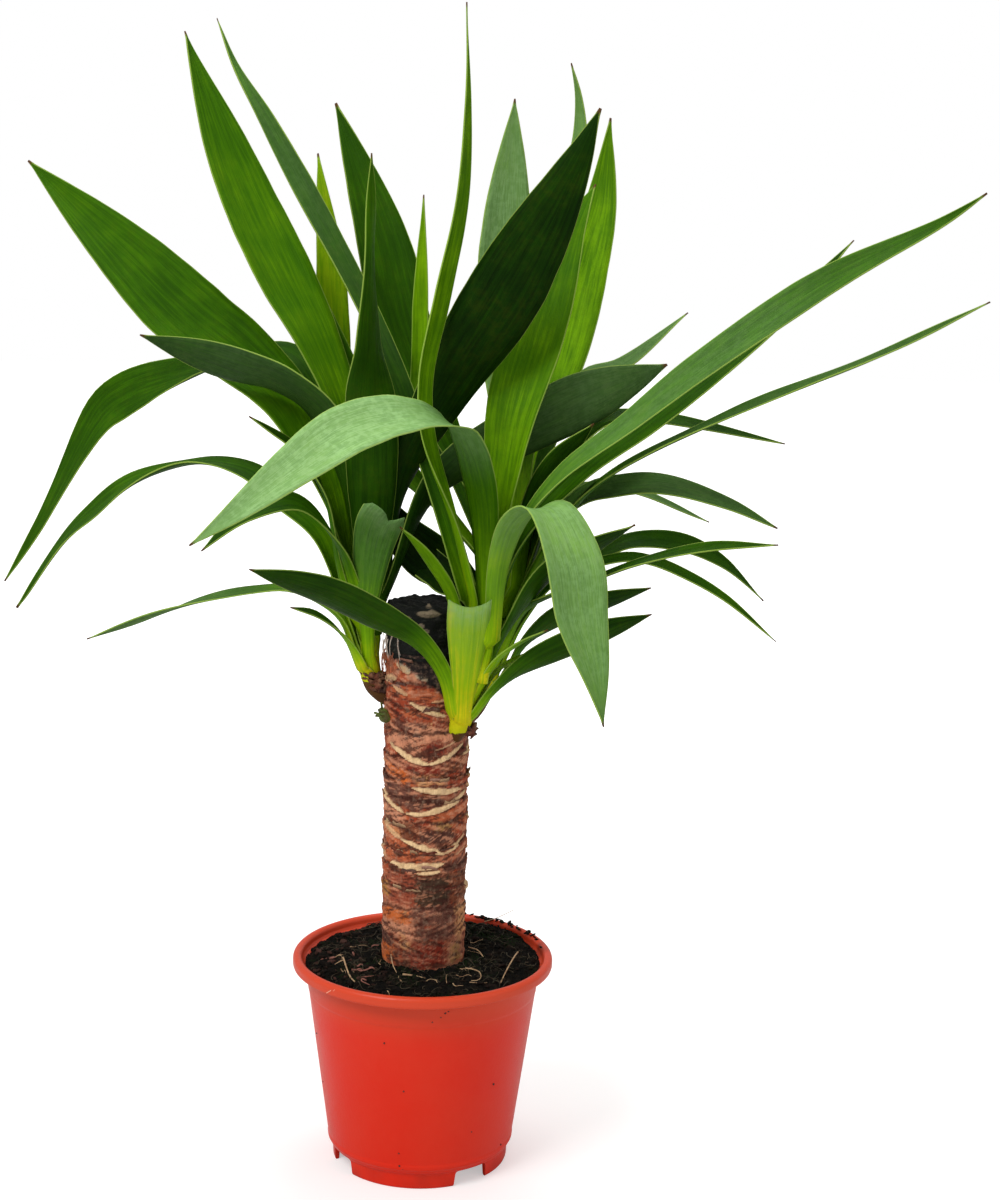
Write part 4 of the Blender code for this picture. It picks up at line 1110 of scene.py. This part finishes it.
        (280, 146, [(6, 280), (43, 336), (68, 386), (81, 425), (108, 485)], 27, [0, -40, -40],
         {"tone": [0.75, 0.45, 0.4, 0.38, 0.4]}),
        (288, 58, [(0, 288), (2, 320), (12, 370), (32, 425), (41, 460), (43, 475), (40, 490), (33, 503)],
         12, [0, 20], {"tone": [0.78, 0.64, 0.58, 0.55], "bloomAndSheen": [0, 0.15, 0.4, 0.4]}),
        (289, 104, [(5, 289), (32, 340), (44, 380), (44, 430), (32, 487)], 27, [0],
         {"tone": [0.78, 0.60, 0.58, 0.56], "bloomAndSheen": [0, 0.3, 0.6, 0.65, 0.5]}),
        # a broad dark leaf low at the back: its very dark tone is painted shade for the shaded middle of the crown
        (258, 176, [(8, 260), (20, 268), (36, 280), (52, 296), (62, 318)], 24, [0, -70, -75],
         {"widest": 0.3, "foot": 16, "tone": [0.3, 0.14, 0.12, 0.16]}),
    ],
}


def smoothRoute(points, perSpan=24):
    # a centripetal Catmull-Rom curve through the points
    knots = [Vector(point) for point in points]
    knots = [2 * knots[0] - knots[1]] + knots + [2 * knots[-1] - knots[-2]]
    route = []
    for p0, p1, p2, p3 in zip(knots, knots[1:], knots[2:], knots[3:]):
        t0 = 0.0
        t1 = t0 + sqrt((p1 - p0).length)
        t2 = t1 + sqrt((p2 - p1).length)
        t3 = t2 + sqrt((p3 - p2).length)
        for step in range(perSpan):
            t = t1 + (t2 - t1) * step / perSpan
            a1 = p0.lerp(p1, (t - t0) / (t1 - t0))
            a2 = p1.lerp(p2, (t - t1) / (t2 - t1))
            a3 = p2.lerp(p3, (t - t2) / (t3 - t2))
            b1 = a1.lerp(a2, (t - t0) / (t2 - t0))
            b2 = a2.lerp(a3, (t - t1) / (t3 - t1))
            route.append(b1.lerp(b2, (t - t1) / (t2 - t1)))
    route.append(knots[-2])
    return route


def evenly(route, count):
    # the route as count + 1 points at equal steps, and its length
    along = [0.0]
    for here, there in zip(route, route[1:]):
        along.append(along[-1] + (there - here).length)
    points, span = [], 0
    for step in range(count + 1):
        wanted = along[-1] * step / count
        while span < len(route) - 2 and along[span + 1] < wanted:
            span += 1
        points.append(route[span].lerp(route[span + 1], (wanted - along[span]) / (along[span + 1] - along[span])))
    return points, along[-1]


def bladeWidth(s, width, widest, baseWidth):
    if s < widest:
        return mix(baseWidth, width, eased(s / widest) ** 1.2)
    return width * max(cos(pi / 2 * (s - widest) / (1 - widest)), leafShape["tip"])


def leafMaterial():
    look = {"margin": (0.40, 0.56, 0.10), "bloomAndSheen": (0.36, 0.60, 0.24), "tip": (0.10, 0.045, 0.015),
            "russet": (0.075, 0.075, 0.004)}
    material, tree, shader = newMaterial("yuccaLeaf", roughness=0.5, specular=0.04)
    place = put(tree, "ShaderNodeUVMap", uv_map="blade").outputs[0]
    solid = objectPlace(tree)
    streak = useGroup(tree, fibres, Vector=place, Across=0.55, Along=0.035)
    thin = useGroup(tree, fibres, Vector=place, Across=2.2, Along=0.05)
    cloud = patchMask(tree, solid, scale=55.0, low=0.35, high=0.7)
    fleck = patchMask(tree, solid, scale=330.0, low=0.35, high=0.7)
    bloomAndSheen = vertexValue(tree, "bloomAndSheen")
    tone = plus(tree, vertexValue(tree, "tone"),
                times(tree, calc(tree, "SUBTRACT", streak.outputs["Mask"], 0.5), 0.10))
    tone = plus(tree, tone, times(tree, calc(tree, "SUBTRACT", thin.outputs["Mask"], 0.5), 0.05))
    tone = plus(tree, tone, times(tree, calc(tree, "SUBTRACT", cloud, 0.5), 0.07))
    # the ramp paints own colour and painted light alike: low tones are painted shade on undersides, high tones the
    # yellow bases and a painted glow of leaves lit from behind
    colour = ramp(tree, tone, [
        (0.0, (0.001, 0.005, 0.0005)), (0.2, (0.008, 0.036, 0.001)), (0.4, (0.024, 0.087, 0.001)),
        (0.5, (0.041, 0.138, 0.001)), (0.6, (0.072, 0.195, 0.001)), (0.75, (0.180, 0.395, 0.002)),
        (0.87, (0.33, 0.53, 0.005)), (1.0, (0.72, 0.66, 0.010))])
    # the whitish mix is the leaf's bloom together with painted sheen where light falls on upper faces
    bloomAndSheenMask = times(tree, bloomAndSheen, remap(tree, plus(tree, fleck, streak.outputs["Fine"]), 0.3, 1.6,
                                                0.62, 1.0))
    colour = blendColours(tree, bloomAndSheenMask, colour, look["bloomAndSheen"])
    colour = blendColours(tree, times(tree, cloud, times(tree, fleck, 0.14)), colour,
                          look["russet"])
    margin = remap(tree, vertexValue(tree, "rim"), 0.42, 0.08)
    colour = blendColours(tree, times(tree, margin, 0.6), colour, look["margin"])
    colour = blendColours(tree, remap(tree, vertexValue(tree, "end"), 3.2, 0.8), colour, look["tip"])
    paintWith(tree, shader, colour)
    tree.links.new(remap(tree, plus(tree, streak.outputs["Fine"], bloomAndSheen), 0.0, 2.0, 0.42, 0.72),
                   shader.inputs["Roughness"])
    addBump(tree, shader, plus(tree, thin.outputs["Mask"], times(tree, fleck, 0.4)), strength=0.3, distance=0.0004)
    return material


def leafLayers(bm):
    # tone (own colour and painted light), bloom with painted sheen, distance from the nearer edge and distance from
    # the tip, for leafMaterial
    for name in ("tone", "bloomAndSheen", "rim", "end"):
        bm.verts.layers.float.new(name)
    return [bm.verts.layers.float[name] for name in ("tone", "bloomAndSheen", "rim", "end")]


def makeLeaf(name, number, shoot, leaf, material):
    base, direction, points, width, rolls, looks = leaf
    shape = leafShape
    bottom, top = (Vector(end) for end in shootLines[shoot])
    lean = (top - bottom) / (top.z - bottom.z)
    start = bottom + lean * (base - bottom.z) + Vector((*looks.get("beside", (0, 0)), 0))
    curve = smoothRoute(points)
    length = evenly(curve, 1)[1]
    count = min(max(round(length / shape["step"]), shape["fewest"]), shape["most"])
    route = evenly(curve, count)[0]
    widest = looks.get("widest", shape["widest"])
    baseWidth = looks.get("foot", min(shape["baseWidth"], 0.75 * width))
    rng = Random(900 + number)
    phase, wave = rng.uniform(0, 6), rng.uniform(0.25, 0.7) * min(width / 20, 1.3)
    total = shape["sheathRows"] + count
    across = Vector((-sin(radians(direction)), cos(radians(direction)), 0))

    centres = []
    for row in range(shape["sheathRows"]):  # the part that clasps the shoot
        share = row / shape["sheathRows"]
        down = min(shape["sheath"], base - shootFeet[shoot]) * (1 - share)
        reach = mix(min(shape["sheathReach"], points[0][0]), points[0][0], share ** 1.6)
        foot = start - lean * down
        centres.append(foot + Vector((reach * cos(radians(direction)), reach * sin(radians(direction)), 0)))
    for index, (reach, height) in enumerate(route):
        turn = radians(direction + looks.get("sweep", 0) * (index / count) ** 2)
        centres.append(Vector((start.x + reach * cos(turn), start.y + reach * sin(turn), height)))

    rows = []
    for row, centre in enumerate(centres):
        s = (row - shape["sheathRows"]) / count
        ahead = (centres[min(row + 1, total)] - centres[max(row - 1, 0)]).normalized()
        side = (across - ahead * across.dot(ahead)).normalized()
        up = ahead.cross(side)
        roll = radians(alongList(rolls, s))
        side, up = side * cos(roll) + up * sin(roll), up * cos(roll) - side * sin(roll)
        if s < 0:
            share = row / shape["sheathRows"]
            half = mix(shape["sheathHalf"], baseWidth / 2, share)
            wrap = mix(shape["wrapFoot"], shape["wrapBase"], share)
        else:
            half = bladeWidth(s, width, widest, baseWidth) / 2
            wrap = mix(shape["wrapBase"], shape["wrapBlade"], eased(s / 0.42))
        if "cut" in looks and s > widest:
            half = width / 2
            wrap = mix(wrap, 0.55, 0.5)
        rows.append((centre, side, up, half, wrap, s))

    def place(u, row):
        lowRow = min(max(int(row), 0), total - 1)
        share = row - lowRow
        spots = []
        for centre, side, up, half, wrap, s in (rows[lowRow], rows[lowRow + 1]):
            wide = half * sin(wrap * u) / sin(wrap)
            rise = half * (1 - cos(wrap * u)) / sin(wrap)
            if s > 0.25:
                rise += wave * eased((s - 0.25) / 0.3) * sin(s * length / 13 + phase) * u * abs(u)
                rise += looks.get("wrinkle", 0) * sin(s * length / 2.6) * eased((s - 0.3) / 0.1) * (1 - s)
            wide *= 1 + 0.02 * noise.noise(Vector((s * length * 0.09, number, u)))
            spots.append(centre + side * wide + up * rise)
        return spots[0].lerp(spots[1], share)

    bm = bmesh.new()
    toneLayer, bloomAndSheenLayer, rimLayer, endLayer = leafLayers(bm)
    uvLayer = bm.loops.layers.uv.new("blade")
    bmesh.ops.create_grid(bm, x_segments=shape["columns"], y_segments=total, size=1.0, calc_uvs=True)
    for face in bm.faces:
        for loop in face.loops:
            u, v = loop[uvLayer].uv
            loop[uvLayer].uv = ((u - 0.5) * width + number * 41.7, v * length + number * 17.3)
    for vert in bm.verts:
        u = vert.co.x
        row = (vert.co.y + 1) / 2 * total
        s = (row - shape["sheathRows"]) / count
        if "cut" in looks:
            row -= alongList(looks["cut"], (u + 1) / 2) * count * eased((s - 0.5) * 2)
        near = rows[min(round(row), total)]
        vert.co = place(u, row) * mm
        tone = alongList(looks["tone"], s)
        if s < 0:
            tone = mix(looks["tone"][0] + 0.1, tone, eased(row / shape["sheathRows"]))
        vert[toneLayer] = tone
        vert[bloomAndSheenLayer] = alongList(looks.get("bloomAndSheen", [0.0]), s)
        vert[rimLayer] = near[3] * (1 - abs(u))
        vert[endLayer] = 20.0 if "cut" in looks else (1 - s) * length
    piece = finishPiece(name, bm, material, [name])
    solidify = piece.modifiers.new("thickness", "SOLIDIFY")
    solidify.thickness = shape["thick"] * mm
    solidify.offset = 0.0
    return piece


def makeLeaves():
    material = leafMaterial()
    number = 0
    for shoot, shootLeaves in leaves.items():
        for place, leaf in enumerate(shootLeaves, start=1):
            number += 1
            makeLeaf(f"{shoot}_leaf_{place:02d}", number, shoot, leaf, material)
    return material


leafSkin = makeLeaves()
print("leaves are made")


# Shoots: the stems that the leaves clasp, and the scaly collars they break out of

stems = {
    "left": [((-15, 1, 216), 3.6), ((-21.5, 1, 221.5), 4.8), ((-25.4, 1, 228), 4.9), ((-25.8, 1.8, 250), 4.3),
             ((-26.1, 2.5, 292), 2.0)],
    "front": [((11, -9, 201), 3.8), ((15.2, -13.4, 210.5), 5.0), ((15.8, -13.8, 215), 5.6),
              ((17, -14, 223), 4.6), ((22, -15, 250), 3.8), ((27.5, -16.5, 292), 2.0)],
    "back": [((14, 7, 204), 4.0), ((21, 10, 212), 4.6), ((26, 12, 222), 4.6), ((33, 15.6, 250), 3.8),
             ((41.5, 19, 292), 2.0)],
}


def makeStem(shoot, material):
    bm = tubes(shoot + "Stem", [stems[shoot]], roundness=6, perSpan=10, merge=1e-6)
    toneLayer, _, rimLayer, endLayer = leafLayers(bm)
    foot = shootFeet[shoot]
    for vert in bm.verts:
        vert.co += vert.normal * 0.35 * mm * noise.noise(vert.co * 420)
        vert[toneLayer] = mix(0.96, 0.82, eased((vert.co.z / mm - foot) / 30))
        vert[rimLayer] = 5.0
        vert[endLayer] = mix(0.0, 20.0, eased((vert.co.z / mm - foot + 2.5) / 2.5))  # brown under the green
    node = shoot + "_shoot"
    return finishPiece(node, bm, material, [node])


for shootName in stems:
    makeStem(shootName, leafSkin)
print("shoots are made")


def huskMaterial():
    look = {"brown": (0.20, 0.045, 0.022), "dark": (0.045, 0.016, 0.011), "dry": (0.34, 0.19, 0.10)}
    material, tree, shader = newMaterial("dryHusk", roughness=0.75, specular=0.25)
    place = objectPlace(tree)
    threads = patchMask(tree, objectPlace(tree, (1.0, 1.0, 0.2)), scale=800.0, low=0.35, high=0.65)
    blots = patchMask(tree, place, scale=170.0, low=0.4, high=0.62)
    colour = blendColours(tree, blots, look["brown"], look["dark"])
    colour = blendColours(tree, times(tree, vertexValue(tree, "dry"), threads), colour, look["dry"])
    paintWith(tree, shader, colour)
    addBump(tree, shader, threads, strength=0.7, distance=0.0005)
    return material


def budMaterial():
    look = {"green": (0.13, 0.21, 0.03), "brown": (0.09, 0.075, 0.02), "dry": (0.22, 0.13, 0.05)}
    material, tree, shader = newMaterial("budScale", roughness=0.6, specular=0.3)
    spots = patchMask(tree, objectPlace(tree), scale=300.0, low=0.4, high=0.62)
    colour = blendColours(tree, spots, look["green"], look["brown"])
    colour = blendColours(tree, times(tree, vertexValue(tree, "dry"), 0.8), colour, look["dry"])
    paintWith(tree, shader, colour)
    addBump(tree, shader, spots, strength=0.5, distance=0.0004)
    return material


def addScale(bm, place, direction, tilt, wide, tall, rng, dryLayer, dry=0.6):
    # one pointed husk: a small grid, cupped, leaning out by tilt and thickened
    made = bmesh.ops.create_grid(bm, x_segments=4, y_segments=5, size=1.0)["verts"]
    faces = list(dict.fromkeys(f for v in made for f in v.link_faces))
    along = Vector((cos(direction) * sin(tilt), sin(direction) * sin(tilt), cos(tilt)))
    side = Vector((-sin(direction), cos(direction), 0))
    out = side.cross(along)
    curl = rng.uniform(-0.5, 1.2)
    for vert in made:
        u, t = vert.co.x, (vert.co.y + 1) / 2
        half = wide / 2 * (1 - t ** 2.2) ** 0.6 + 0.12
        vert[dryLayer] = dry * t
        vert.co = (Vector(place) + side * (half * u) + along * (tall * t)
                   + out * (curl * t * t - 0.22 * wide * u * u)) * mm
    bmesh.ops.solidify(bm, geom=faces, thickness=0.4 * mm)


def makeHusks():
    rng = Random(77)
    material = huskMaterial()
    bm = bmesh.new()
    dryLayer = bm.verts.layers.float.new("dry")
    scale = {"off": (0.75, 1.05), "tilt": (5, 45), "wide": (3, 5.5), "tall": (2.5, 5.5)}
    collars = [  # from, to, radius, how many: rings of scales along the foot of each shoot
        ((-20.5, 0.2, 221), (-24.4, 0.6, 227.5), 5.2, 46), ((17.5, -11, 202), (20.0, -12.5, 207.0), 3.0, 14),
        ((17, 8.5, 205), (24.5, 11.4, 219.0), 5.0, 46)]
    for first, last, radius, count in collars:
        for _ in range(count):
            turn = rng.uniform(0, 2 * pi)
            middle = Vector(first).lerp(Vector(last), rng.random())
            spot = middle + Vector((cos(turn), sin(turn), 0)) * radius * rng.uniform(*scale["off"])
            addScale(bm, spot, turn, radians(rng.uniform(*scale["tilt"])), rng.uniform(*scale["wide"]),
                     rng.uniform(*scale["tall"]), rng, dryLayer)
    finishPiece("shootHusks", bm, material, [])

    bm = bmesh.new()
    dryLayer = bm.verts.layers.float.new("dry")
    bud = Vector((-18.4, -8.6, 211.5))
    bmesh.ops.create_icosphere(bm, subdivisions=3, radius=1.0)
    for vert in bm.verts:
        rise = max(vert.co.z, 0.0)
        vert.co = (bud + Vector((vert.co.x * 3.0 * (1 - 0.5 * rise) - 1.5 * rise, vert.co.y * 2.7 * (1 - 0.5 * rise),
                                 vert.co.z * (4.4 if rise else 3.0)))) * mm
    for turn, tilt, tall in ((170, 15, 7.0), (200, 48, 5.0), (235, 30, 5.5), (140, 40, 4.6), (260, 55, 4.0),
                             (185, 70, 3.6)):
        addScale(bm, bud + Vector((-1.0, -0.3, -0.5)), radians(turn), radians(tilt), 3.0, tall, rng, dryLayer, 0.2)
    finishPiece("sideBud", bm, budMaterial(), ["side_bud"])


makeHusks()
print("husks are made")
